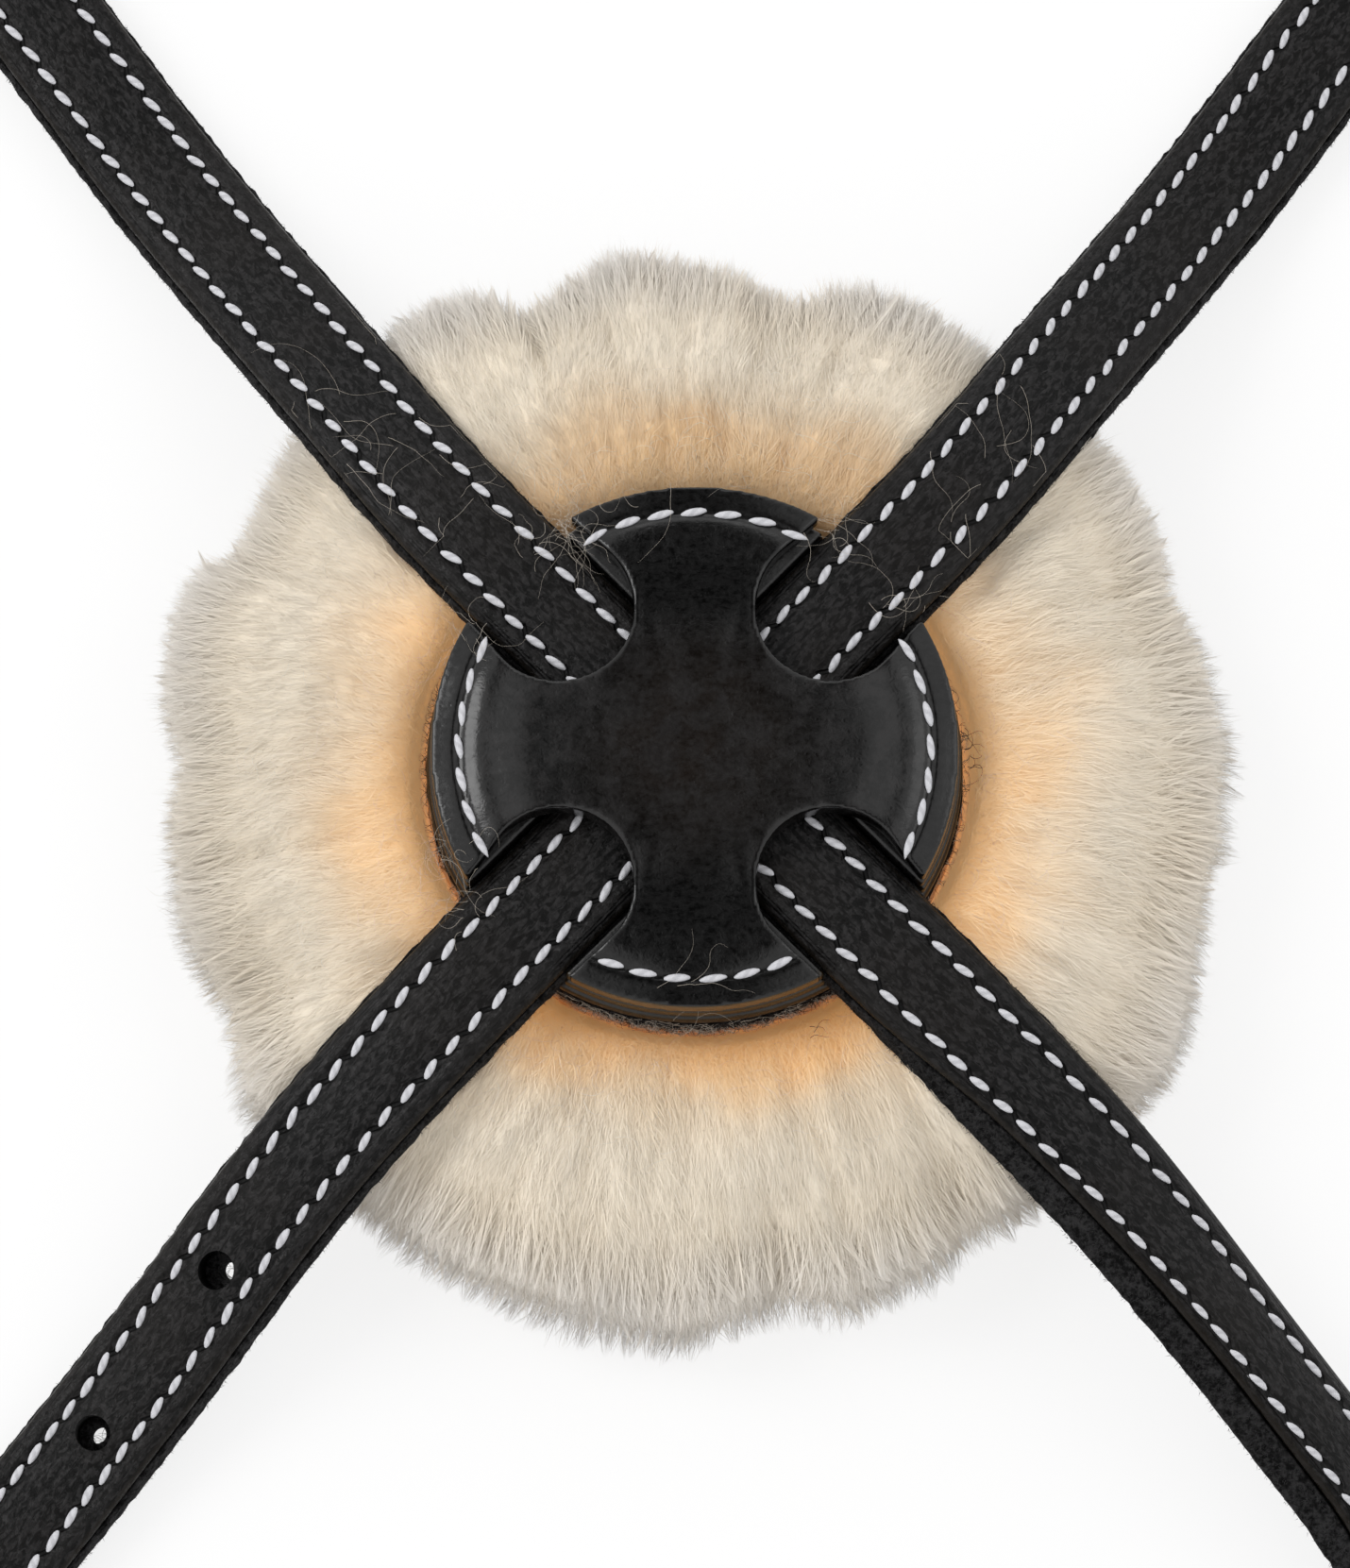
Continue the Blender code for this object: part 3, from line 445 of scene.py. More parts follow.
def mesh_from(curve, splines, closed, name):
    """Gives a curve its lines of points, and makes it a mesh with closed seams."""
    for points in splines:
        spline = curve.splines.new("POLY")
        spline.points.add(len(points) - 1)
        for point, place in zip(spline.points, points):
            point.co = (*place, 1.0)
        spline.use_cyclic_u = closed
    piece = bpy.data.objects.new(name, curve)
    bpy.context.scene.collection.objects.link(piece)
    pick(piece)
    bpy.ops.object.convert(target="MESH")
    piece = take(name)
    join_seams()
    return piece


def dress(piece, material, body=None, stands_for=()):
    """Gives a piece its material, the body that it rides on and the CAD nodes that it stands for."""
    piece.data.materials.clear()
    piece.data.materials.append(material)
    if body:
        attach(piece, body)
    if stands_for:
        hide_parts(*stands_for)
    return piece


class Wired:
    """A node's output that can be added, subtracted, multiplied and divided."""

    def __init__(self, nodes, socket):
        self.nodes, self.socket = nodes, socket

    def __add__(self, other):
        return self.nodes.maths("ADD", self, other)

    def __sub__(self, other):
        return self.nodes.maths("SUBTRACT", self, other)

    def __mul__(self, other):
        return self.nodes.maths("MULTIPLY", self, other)

    def __truediv__(self, other):
        return self.nodes.maths("DIVIDE", self, other)

    def __rsub__(self, other):
        return self.nodes.maths("SUBTRACT", other, self)

    def __abs__(self):
        return self.nodes.maths("ABSOLUTE", self)

    __radd__ = __add__
    __rmul__ = __mul__


class Nodes:
    """A node tree that is built up from wrapped outputs."""

    def __init__(self, tree):
        self.tree = tree

    def node(self, kind, settings=None, inputs=None, output=0):
        made = self.tree.nodes.new(kind)
        for key, value in (settings or {}).items():
            setattr(made, key, value)
        for key, value in (inputs or {}).items():
            self.feed(made.inputs[key], value)
        return Wired(self, made.outputs[output])

    def feed(self, socket, value):
        if isinstance(value, Wired):
            self.tree.links.new(value.socket, socket)
        elif isinstance(value, tuple) and len(value) == 3 and socket.type == "RGBA":
            socket.default_value = (*value, 1.0)
        else:
            socket.default_value = value

    def maths(self, operation, *values):
        return self.node("ShaderNodeMath", {"operation": operation}, dict(enumerate(values)))

    def mix(self, share, low, high):
        inputs = {0: share, 6: low, 7: high}
        return self.node("ShaderNodeMix", {"data_type": "RGBA"}, inputs, output=2)

    def band(self, value, low, high, to_low=0.0, to_high=1.0, curve="SMOOTHSTEP"):
        """From to_low where value is low to to_high where it is high."""
        inputs = {"Value": value, "From Min": low, "From Max": high, "To Min": to_low, "To Max": to_high}
        return self.node("ShaderNodeMapRange", {"interpolation_type": curve}, inputs)

    def fade(self, value, low, high):
        """Smoothly from 1 where value is low to 0 where it is high."""
        return self.band(value, low, high, 1.0, 0.0)

    def parts(self, vector):
        made = self.node("ShaderNodeSeparateXYZ", None, {0: vector})
        return [Wired(self, socket) for socket in made.socket.node.outputs]

    def ray(self, *kinds):
        """1 for light paths of these kinds, 0 for others."""
        outputs = self.node("ShaderNodeLightPath").socket.node.outputs
        seen = Wired(self, outputs[kinds[0]])
        for kind in kinds[1:]:
            seen = self.maths("MAXIMUM", seen, Wired(self, outputs[kind]))
        return seen


class Finish(Nodes):
    """A material that is built up from nodes."""

    def __init__(self, name):
        self.material = bpy.data.materials.new(name)
        self.material.use_nodes = True
        super().__init__(self.material.node_tree)
        self.shader = self.tree.nodes["Principled BSDF"]
        self.output = self.tree.nodes["Material Output"]

    def place(self):
        return self.node("ShaderNodeTexCoord", output="Object")

    def map_place(self, name):
        return self.node("ShaderNodeUVMap", {"uv_map": name})

    def far_out(self, x, y):
        """Distance from the rosette's middle, in plan."""
        return self.maths("SQRT", x * x + y * y)

    def stretched(self, vector, scale):
        return self.node("ShaderNodeMapping", None, {"Vector": vector, "Scale": scale})

    def noise(self, vector, scale, detail=3.0, roughness=0.55, warp=0.0):
        inputs = {"Vector": vector, "Scale": scale, "Detail": detail}
        inputs.update({"Roughness": roughness, "Distortion": warp})
        return self.node("ShaderNodeTexNoise", None, inputs)

    def cells(self, vector, scale):
        return self.node("ShaderNodeTexVoronoi", None, {"Vector": vector, "Scale": scale})

    def bump(self, height, distance, strength=1.0, over=None):
        inputs = {"Height": height, "Distance": distance, "Strength": strength}
        if over:
            inputs["Normal"] = over
        return self.node("ShaderNodeBump", None, inputs)

    def set(self, **values):
        for key, value in values.items():
            self.feed(self.shader.inputs[key.replace("_", " ")], value)


def leather_base(finish, place, rough, grain=1.0, tone=1.0):
    """Black finished leather: fine grain, pores, soft colour changes. Returns (colour, bump)."""
    broad = finish.noise(place, 90.0, 3.0)
    fine = finish.noise(place, 1500.0, 3.0, 0.6)
    grains = finish.cells(place, 1900.0)
    pores = finish.cells(place, 1050.0)
    pore = finish.fade(pores, 0.10, 0.22)
    patch = finish.band(finish.noise(place, 45.0, 2.0), 0.42, 0.62)
    creases = finish.noise(finish.stretched(place, (1.0, 2.2, 1.0)), 760.0, 3.0, 0.65, 0.6)
    darker, lighter = 0.0008 * tone, 0.0260 * tone
    wrinkled = finish.band(creases, 0.44, 0.56)
    colour = finish.mix(wrinkled, (darker,) * 3, (lighter, lighter * 0.95, lighter * 0.97))
    colour = finish.mix(finish.band(fine, 0.40, 0.60) * 0.6, colour, (0.0030 * tone,) * 3)
    colour = finish.mix(patch * broad * 0.5, colour, (0.0160 * tone, 0.0128 * tone, 0.0110 * tone))
    colour = finish.mix(pore * 0.85, colour, (0.0010 * tone,) * 3)
    finish.set(Roughness=finish.band(fine, 0.3, 0.7, rough - 0.04, rough + 0.06))
    height = fine * 0.12 + creases * 1.3 - grains * 0.15 - pore * 0.25
    return colour, finish.bump(height, 0.00018 * grain)


def strap_leather():
    """Face of a strap: dressed leather with a stitch row, pricked slits painted near black as shade, a
    painted highlight along its shoulders, and a rubbed edge.
    """
    finish = Finish("strap_leather")
    place = finish.map_place("strap_map")
    along, across, _ = finish.parts(place)
    beside = abs(across)
    edge = finish.band(beside, 0.0060, 0.0066)
    shoulder_painted_highlight = finish.band(beside, 0.0041, 0.0050) * finish.fade(beside, 0.0056, 0.0060)
    rough = 0.43 - edge * 0.16 - shoulder_painted_highlight * 0.10
    colour, bump = leather_base(finish, place, rough, 0.8, 0.80)
    # Distance from the slit between two stitches, along it and across it
    step = finish.maths("FRACT", along / STITCH_PITCH + 0.5)
    ahead = (step - 0.5) * STITCH_PITCH
    off_row = beside - ROW_OFFSET
    left = off_row * finish.maths("SIGN", across) * -1.0
    slit_way, slit_side = math.cos(SLIT_SLANT), math.sin(SLIT_SLANT)
    over = abs(ahead * slit_way + left * slit_side)
    off = abs(left * slit_way - ahead * slit_side)
    slit = finish.fade(off, 0.00012, 0.00032) * finish.fade(over, 0.0005, 0.0009)
    row_far = abs(off_row)
    drawn = finish.fade(row_far, 0.0, 0.00030)
    pull = finish.fade(row_far, 0.0002, 0.0011) * finish.noise(place, 900.0, 2.0)
    crease = finish.fade(abs(beside - 0.0056), 0.0, 0.00020)
    lumps = finish.noise(finish.stretched(place, (0.8, 1.0, 1.0)), 620.0, 3.0, 0.6)
    ripple = finish.noise(finish.stretched(place, (1.0, 0.16, 1.0)), 1150.0, 3.0, 0.55, 0.5)
    rippled = finish.band(finish.noise(place, 38.0, 2.0), 0.44, 0.60)
    rippled = rippled * finish.fade(beside, 0.0020, 0.0034)
    # Painted highlight: the shoulders between the stitch rows and the crease are lighter
    colour = finish.mix(shoulder_painted_highlight * 0.30, colour, (0.0170, 0.0162, 0.0160))
    # Painted shade: the slits are near black, as shade inside the pricked holes
    colour = finish.mix(slit * 0.97, colour, (0.0004, 0.0004, 0.0004))
    colour = finish.mix(drawn * 0.45, colour, (0.0020, 0.0020, 0.0020))
    colour = finish.mix(crease * 0.25, colour, (0.0025, 0.0024, 0.0022))
    worn = finish.noise(place, 800.0, 3.0)
    rubbed = finish.mix(worn, (0.0040, 0.0034, 0.0028), (0.015, 0.011, 0.007))
    colour = finish.mix(edge * 0.75, colour, rubbed)
    low = finish.bump(ripple * rippled, 0.00020, 1.0, bump)
    low = finish.bump(lumps * shoulder_painted_highlight, 0.00045, 1.0, low)
    low = finish.bump(slit * -1.2 - pull * 0.5 - crease * 0.2, 0.00035, 1.0, low)
    finish.set(Base_Color=colour, Normal=low, Specular_IOR_Level=0.14)
    return finish.material


def cover_leather():
    """Rosette cover: glossier, with a painted brownish sheen at the middle, a painted lighter band
    across the left and right lobes, and drawn lines beside its stitching.
    """
    finish = Finish("cover_leather")
    place = finish.place()
    colour, bump = leather_base(finish, place, 0.16, 0.09, 0.18)
    x, y, _ = finish.parts(place)
    out = finish.far_out(x, y)
    # Painted sheen: a brownish reflection over the middle of the cover
    warm_and_painted_light = finish.fade(out, 0.002, 0.017) * finish.noise(place, 160.0, 3.0)
    colour = finish.mix(warm_and_painted_light * 0.8, colour, (0.0170, 0.0118, 0.0090))
    mottle = finish.band(finish.noise(place, 420.0, 4.0, 0.65), 0.42, 0.60)
    # Painted sheen: lighter mottle in a band across the middle and over the left and right lobes
    level = finish.fade(abs(y), 0.006, 0.016)
    level = level * finish.fade(out, 0.0250, 0.0262)
    colour = finish.mix(mottle * level * 0.6, colour, (0.0150, 0.0140, 0.0140))
    drawn = finish.noise(finish.stretched(place, (1.0, 1.0, 0.2)), 800.0, 4.0, 0.6, 1.2)
    near = finish.fade(abs(out - 0.0225), 0.0, 0.0050)
    low = finish.bump(drawn * near, 0.00004, 1.0, bump)
    finish.set(Base_Color=colour, Normal=low, Specular_IOR_Level=0.46)
    return finish.material


def keeper_leather():
    finish = Finish("keeper_leather")
    colour, bump = leather_base(finish, finish.place(), 0.45)
    finish.set(Base_Color=colour, Normal=bump, Specular_IOR_Level=0.36)
    return finish.material


def burnished_edge(name, brown):
    """Black leather with its rim rubbed to a shine in fine rings, more or less brown."""
    finish = Finish(name)
    place = finish.place()
    colour, bump = leather_base(finish, place, 0.30, 0.2, 0.25)
    x, y, _ = finish.parts(place)
    out = finish.far_out(x, y)
    rim = finish.band(out, 0.0268, 0.0276) * finish.band(y, -0.022, -0.010, 1.0, 0.05)
    rings = finish.noise(finish.stretched(place, (0.03, 0.03, 1.0)), 2600.0, 3.0)
    worn = finish.mix(rings, (0.0030, 0.0022, 0.0014), (0.0400, 0.0250, 0.0090))
    colour = finish.mix(rim * brown, colour, worn)
    low = finish.bump(rings * rim, 0.00008, 1.0, bump)
    finish.set(Base_Color=colour, Normal=low, Specular_IOR_Level=0.5)
    return finish.material


def suede(name):
    """Napped flesh side: dull, mottled, with a short pile."""
    finish = Finish(name)
    place = finish.place()
    nap = finish.noise(place, 2300.0, 4.0, 0.72)
    clumps = finish.noise(place, 900.0, 3.0, 0.6)
    mottle = finish.noise(place, 240.0, 3.0)
    tufts = finish.band(nap + clumps * 0.8, 0.72, 1.10)
    colour = finish.mix(tufts, (0.0012, 0.0012, 0.0013), (0.0420, 0.0410, 0.0420))
    colour = finish.mix(mottle * 0.4, colour, (0.0050, 0.0049, 0.0050))
    finish.set(Base_Color=colour, Roughness=0.95, Specular_IOR_Level=0.12)
    finish.set(Normal=finish.bump(nap + clumps * 1.2 + mottle * 0.4, 0.0006))
    return finish.material


def hide_leather():
    """Flesh side of the sheepskin: pinkish, chalky, with a few fibres."""
    finish = Finish("sheepskin_hide")
    place = finish.place()
    mottle = finish.noise(place, 300.0, 4.0)
    nap = finish.noise(place, 1800.0, 3.0)
    colour = finish.mix(mottle, (0.66, 0.42, 0.28), (0.84, 0.62, 0.48))
    finish.set(Base_Color=colour, Roughness=0.85, Specular_IOR_Level=0.2)
    finish.set(Normal=finish.bump(nap + mottle, 0.0002))
    return finish.material


def fleece(name, strands):
    """Wool: tan to orange beside the hide (the orange partly a painted glow), cream further out, cooler
    at the tips of the rim, with painted shade in its furrows, at the fibres' roots and on its top side,
    and a painted glow over it all.
    """
    finish = Finish(name)
    place = finish.place()
    x, y, _ = finish.parts(place)
    out = finish.far_out(x, y)
    # beside marks the left and right sides, above the top side; both steer painted light and shade below
    beside = finish.band(abs(x / out), 0.55, 0.95)
    above = finish.band(y / out, 0.45, 0.90)
    patch = finish.noise(place, 70.0, 3.0)
    patches = finish.noise(place, 42.0, 2.0)
    warm_and_painted_light = finish.fade(out - patches * 0.016, 0.0190, 0.0385)
    glow = finish.fade(out - patches * 0.026, 0.0150, 0.0265)
    cool = finish.band(out + patch * 0.006, 0.0530, 0.0640)
    colour = finish.mix(patch, (0.90, 0.79, 0.63), (0.96, 0.87, 0.73))
    colour = finish.mix(warm_and_painted_light, colour, (0.96, 0.72, 0.44))
    # Deeper orange close to the hide: partly the wool's own colour, partly a painted glow
    colour = finish.mix(glow * 0.75, colour, (0.98, 0.64, 0.30))
    # Painted shade: darker on the top side beside the hide
    colour = finish.mix(warm_and_painted_light * above * 0.5, colour, (0.68, 0.50, 0.32))
    colour = finish.mix(cool * 0.75, colour, (0.80, 0.79, 0.785))
    # Furrows that are long outwards and narrow round the pad, painted a darker tan as shade
    lie = {0: x / out * 0.055, 1: y / out * 0.055, 2: out * 0.12}
    ways = finish.node("ShaderNodeCombineXYZ", None, lie)
    furrows_and_shade = finish.fade(finish.noise(ways, 800.0, 4.0, 0.65, 0.5), 0.30, 0.55)
    colour = finish.mix(furrows_and_shade * 0.16, colour, (0.72, 0.60, 0.44))
    if strands:
        along, draw, _ = finish.parts(finish.map_place("wool_map"))
        colour = finish.mix(finish.band(draw, 0.0, 1.0) * 0.25, colour, (0.90, 0.85, 0.77))
        # Painted shade: each fibre darker towards its root, down in the pile
        root_shade = finish.fade(along, 0.0, 0.5)
        colour = finish.mix(root_shade * 0.15, colour, (0.72, 0.60, 0.44))
    else:
        fine = finish.noise(ways, 3400.0, 5.0, 0.7, 0.4)
        finish.set(Normal=finish.bump(fine + furrows_and_shade * -0.6, 0.0002))
    # Painted glow: an emission over all the wool that stands in for light scattered among its fibres,
    # warmer and stronger beside the hide, strongest at the left and right sides and weak on the top side
    through = finish.mix(warm_and_painted_light, (0.070, 0.061, 0.049), (0.130, 0.080, 0.040))
    through = finish.mix(glow, through, (0.24, 0.120, 0.042))
    through = finish.mix(warm_and_painted_light * beside * 0.8, through, (0.34, 0.20, 0.092))
    through = finish.mix(warm_and_painted_light * above * 0.9, through, (0.030, 0.018, 0.008))
    finish.set(Base_Color=colour, Roughness=0.9, Specular_IOR_Level=0.15)
    finish.set(Emission_Color=through, Emission_Strength=1.0)
    finish.set(Sheen_Weight=0.12, Sheen_Roughness=0.5)
    return finish.material


def thread():
    """Waxed pale grey thread of two twisted plies."""
    finish = Finish("pale_thread")
    along, around, _ = finish.parts(finish.map_place("thread_map"))
    twist = finish.maths("FRACT", along * 2.0 + around)
    ply = finish.maths("SINE", twist * math.tau)
    fuzz = finish.noise(finish.place(), 5200.0, 3.0)
    colour = finish.mix(fuzz, (0.52, 0.52, 0.55), (0.72, 0.72, 0.75))
    # Painted shade: darker in the groove between the two plies
    colour = finish.mix(finish.band(ply, -1.0, -0.5, 0.30, 0.0), colour, (0.22, 0.22, 0.24))
    finish.set(Base_Color=colour, Roughness=0.62, Specular_IOR_Level=0.3)
    finish.set(Normal=finish.bump(ply * 0.5 + fuzz, 0.00008))
    return finish.material


def polished_steel():
    """Ring and buckle metal: bright, with faint rubbing marks."""
    finish = Finish("polished_steel")
    place = finish.place()
    rubs = finish.noise(finish.stretched(place, (1.0, 1.0, 6.0)), 700.0, 4.0, 0.6, 0.4)
    dull = finish.noise(place, 120.0, 3.0)
    finish.set(Base_Color=finish.mix(dull, (0.40, 0.40, 0.42), (0.54, 0.54, 0.56)), Metallic=1.0)
    finish.set(Roughness=finish.band(rubs + dull * 0.5, 0.5, 1.0, 0.12, 0.26))
    finish.set(Normal=finish.bump(rubs, 0.00002, 0.5))
    return finish.material


def loose_hair(name, low, high):
    finish = Finish(name)
    tint = finish.noise(finish.place(), 260.0, 2.0)
    finish.set(Base_Color=finish.mix(tint, low, high), Roughness=0.7, Specular_IOR_Level=0.3)
    return finish.material


STRAP_LEATHER = strap_leather()
COVER_LEATHER = cover_leather()
KEEPER_LEATHER = keeper_leather()
BACKING_LEATHER = burnished_edge("backing_leather", 0.35)
FILLING_LEATHER = burnished_edge("filling_leather", 1.0)
LINING_SUEDE = suede("lining_suede")
UNDERLAY_SUEDE = suede("underlay_suede")
HIDE_LEATHER = hide_leather()
WOOL_BODY = fleece("wool_body", False)
WOOL_STRANDS = fleece("wool_strands", True)
THREAD = thread()
STEEL = polished_steel()
FRIZZ = loose_hair("wool_frizz", (0.84, 0.76, 0.64), (0.95, 0.90, 0.82))
PALE_HAIR = loose_hair("pale_hair", (0.40, 0.35, 0.29), (0.66, 0.60, 0.52))
BLACK_HAIR = loose_hair("black_hair", (0.008, 0.008, 0.009), (0.060, 0.058, 0.060))

# (across, up) points of half of a layer's section, from the middle of its top to that of its back
FACE_TOP = (
    (0.0, 0.00128), (0.0009, 0.00127), (0.0018, 0.00122), (0.0025, 0.00113), (0.0030, 0.00101),
    (0.0034, 0.00088), (0.00375, 0.00082), (0.0041, 0.00088), (0.0045, 0.00090), (0.0049, 0.00086),
    (0.00525, 0.00079), (0.0055, 0.00071), (0.00575, 0.00068), (0.0060, 0.00059),
    (0.00630, 0.00042), (0.00650, 0.00014), (0.00655, -0.00012), (0.00640, -0.00036),
    (0.00615, -0.00050), (0.0060, -0.00085), (0.0058, -0.0011), (0.0040, -0.0011),
    (0.0020, -0.0011), (0.0, -0.0011),
)
LINING_TOP = (
    (0.0, 0.00125), (0.0025, 0.00125), (0.0050, 0.00125), (0.0061, 0.00125), (0.00625, 0.00160),
    (0.00640, 0.00195), (0.00665, 0.00205), (0.00688, 0.00185), (0.00696, 0.00130),
    (0.00690, 0.0006), (0.00696, 0.0), (0.00686, -0.0005), (0.0065, -0.00092), (0.0058, -0.00118),
    (0.0048, -0.00125), (0.0032, -0.00125), (0.0016, -0.00125), (0.0, -0.00125),
)


def whole_section(half):
    """The closed section and each point's distance round it from the middle of the top."""
    lengths = [0.0]
    for one, two in zip(half, half[1:]):
        lengths.append(lengths[-1] + math.dist(one, two))
    right = [(-x, z, -length) for (x, z), length in zip(half, lengths)]
    left = [(x, z, length) for (x, z), length in zip(half, lengths)]
    # From the middle of the back, up one side, over the top and down the other
    return right[::-1] + left[1:]


def rolled_grid(name, lengths, half):
    """A flat strap layer: a grid rolled round its section and closed at both ends."""
    section = whole_section(half)
    select_nothing()
    bpy.ops.mesh.primitive_grid_add(
        x_subdivisions=len(lengths) - 1, y_subdivisions=len(section) - 1, size=1.0
    )
    piece = take(name)
    mesh = piece.data
    cells = points_of(mesh) + 0.5
    column = np.rint(cells[:, 0] * (len(lengths) - 1)).astype(int)
    row = np.rint(cells[:, 1] * (len(section) - 1)).astype(int)
    along = np.asarray(lengths)[column]
    outline = np.asarray(section)[row]
    move_points(mesh, np.stack([along, outline[:, 0], outline[:, 1]], 1))
    corners = np.empty(len(mesh.loops), dtype=np.int32)
    mesh.loops.foreach_get("vertex_index", corners)
    layer = mesh.uv_layers[0]
    layer.name = "strap_map"
    places = np.stack([along[corners], outline[corners, 2]], 1)
    layer.data.foreach_set("uv", places.astype(np.float32).ravel())
    join_seams(fill=True)
    return piece


def steps(start, end, gap):
    count = max(1, math.ceil((end - start) / gap))
    return [start + (end - start) * k / count for k in range(count + 1)]


def point_width(to_tip):
    """Share of the strap's width near a billet's point."""
    share = np.clip(to_tip / POINT_LENGTH, 0.0, 1.0)
    return 0.10 + 0.90 * np.power(np.clip(1 - (1 - share) ** 2.1, 0.0, 1.0), 0.62)


def punch(piece, centres, radius, stray):
    """Round holes through a flat strap layer, one at each length, up to stray off their places."""
    cutters = []
    for at in centres:
        select_nothing()
        place = (at + chance.uniform(-stray, stray), chance.uniform(-stray, stray), 0.0)
        bpy.ops.mesh.primitive_cylinder_add(
            vertices=28, radius=radius, depth=CUTTER_DEPTH, location=place
        )
        cutters.append(bpy.context.active_object)
    pick(cutters[0])
    for cutter in cutters:
        cutter.select_set(True)
    bpy.ops.object.join()
    cut_away(piece, cutters[0])


def stitch_pattern():
    """One stitch along X: (points, triangles, map places). Its pointed ends dip into their slits."""
    select_nothing()
    bpy.ops.mesh.primitive_uv_sphere_add(segments=8, ring_count=9, radius=0.5)
    ball = bpy.context.active_object
    bpy.ops.object.mode_set(mode="EDIT")
    bpy.ops.mesh.select_all(action="SELECT")
    bpy.ops.mesh.quads_convert_to_tris()
    bpy.ops.object.mode_set(mode="OBJECT")
    mesh = ball.data
    points = points_of(mesh)
    # The sphere's poles go to the two ends of the stitch
    points = np.stack([points[:, 2], points[:, 0], points[:, 1]], 1)
    share = np.abs(points[:, 0]) * 2
    slimmer = (1 - share**2.4) / np.maximum(np.sqrt(np.clip(1 - share**2, 0.0, 1.0)), 0.05)
    points[:, 1:] *= slimmer[:, None]
    points *= (0.0031, 0.00086, 0.00070)
    points[:, 2] -= (points[:, 0] / 0.00155) ** 4 * 0.00050
    faces = np.array([tuple(p.vertices) for p in mesh.polygons])
    places = np.empty(len(mesh.loops) * 2)
    mesh.uv_layers[0].data.foreach_get("uv", places)
    places = places.reshape(-1, 3, 2)[:, :, ::-1]
    bpy.data.objects.remove(ball, do_unlink=True)
    # The triangles come in no fixed order, so each starts at its lowest index and all are sorted
    turn = (faces.argmin(1)[:, None] + np.arange(3)) % 3
    faces = np.take_along_axis(faces, turn, 1)
    places = np.take_along_axis(places, turn[:, :, None], 1)
    order = np.lexsort(faces.T[::-1])
    return points, faces[order], places[order].reshape(-1, 2)


STITCH = stitch_pattern()


def stitching(name, places, aheads, ups, slant, scale=1.0):
    """Copies of the stitch as one piece, each slanted from its row and a little its own."""
    points, faces, corner_places = STITCH
    count = len(places)
    turn = slant + draws.normal(0.0, 0.05, count)
    ways = swung(aheads, np.cross(ups, aheads), turn)
    sides = np.cross(ups, ways)
    size = scale * (1 + draws.normal(0.0, 0.035, (count, 3)))
    local = points[None, :, :] * size[:, None, :]
    local[:, :, :2] += draws.normal(0.0, 0.00005, (count, 2))[:, None, :]
    world = places[:, None, :] + ways[:, None, :] * local[:, :, 0:1]
    world += sides[:, None, :] * local[:, :, 1:2] + ups[:, None, :] * local[:, :, 2:3]
    all_faces = faces[None, :, :] + (np.arange(count) * len(points))[:, None, None]
    all_places = np.tile(corner_places, (count, 1))
    piece = mesh_of(name, world.reshape(-1, 3), all_faces.reshape(-1, 3), "thread_map", all_places)
    return dress(piece, THREAD)


def strap_rows(name, face_path, lining_path, start, end, holes):
    """Both stitch rows of a strap, on its face and on its back."""
    first = math.ceil(start / STITCH_PITCH)
    last = math.floor(end / STITCH_PITCH) - 1
    lengths = [(k + 0.5) * STITCH_PITCH for k in range(first, last + 1)]
    lengths = np.array([at for at in lengths if all(abs(at - hole) >= 0.0001 for hole in holes)])
    found = [[], [], []]
    for path, lift, sign in ((face_path, 0.00082 + 0.00013, 1), (lining_path, -0.00125, -1)):
        at = lengths
        if sign < 0:
            at = lengths[(lengths > path.at[0] + 0.002) & (lengths < path.at[-1] - 0.002)]
        if not len(at):
            continue
        places, lefts, ups = path.sample(at)
        for across in (-ROW_OFFSET, ROW_OFFSET):
            found[0].append(places + lefts * across + ups * lift)
            found[1].append(np.cross(lefts, ups))
            found[2].append(ups * sign)
    places, aheads, ups = (np.concatenate(rows) for rows in found)
    return stitching(name, places, aheads, ups, STITCH_SLANT)


def bind(piece, body, route):
    """Lets a piece follow its strap's body. Given a route, the piece only has its place baked into its
    points and is not tied to the body.
    """
    if not route:
        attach(piece, body)
        return
    start, end = route.place(FOLD_START), route.place(FOLD_END)
    start.z = end.z = STRAP_SEAT
    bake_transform(piece)


def bared(flat, side, at_foot):
    """One edge of the strap drawn in at its face and out at its foot, so that its flesh side shows."""
    flat = np.array(flat)
    edge = smooth_share(flat[:, 1] * side, 0.0043, 0.0058) * smooth_share(flat[:, 0], 0.028, 0.052)
    shift = np.interp(flat[:, 2], (-0.0008, 0.0019), (at_foot, -BARE_FACE))
    flat[:, 1] += side * edge * shift
    return flat


def curl(start, way, length, bend, count=14, lift=0.10):
    """A wandering hair's line of points."""
    place, way = np.array(start, float), np.array(way, float)
    way /= np.linalg.norm(way)
    line = [place.copy()]
    spin = draws.normal(0.0, bend)
    for _ in range(count - 1):
        spin = 0.75 * spin + draws.normal(0.0, bend * 0.6)
        way = way + np.array([-way[1], way[0], draws.normal(0.0, lift)]) * spin
        way[2] = np.clip(way[2], -0.3, 0.3)
        way /= np.linalg.norm(way)
        place = place + way * length / (count - 1)
        line.append(place.copy())
    return line


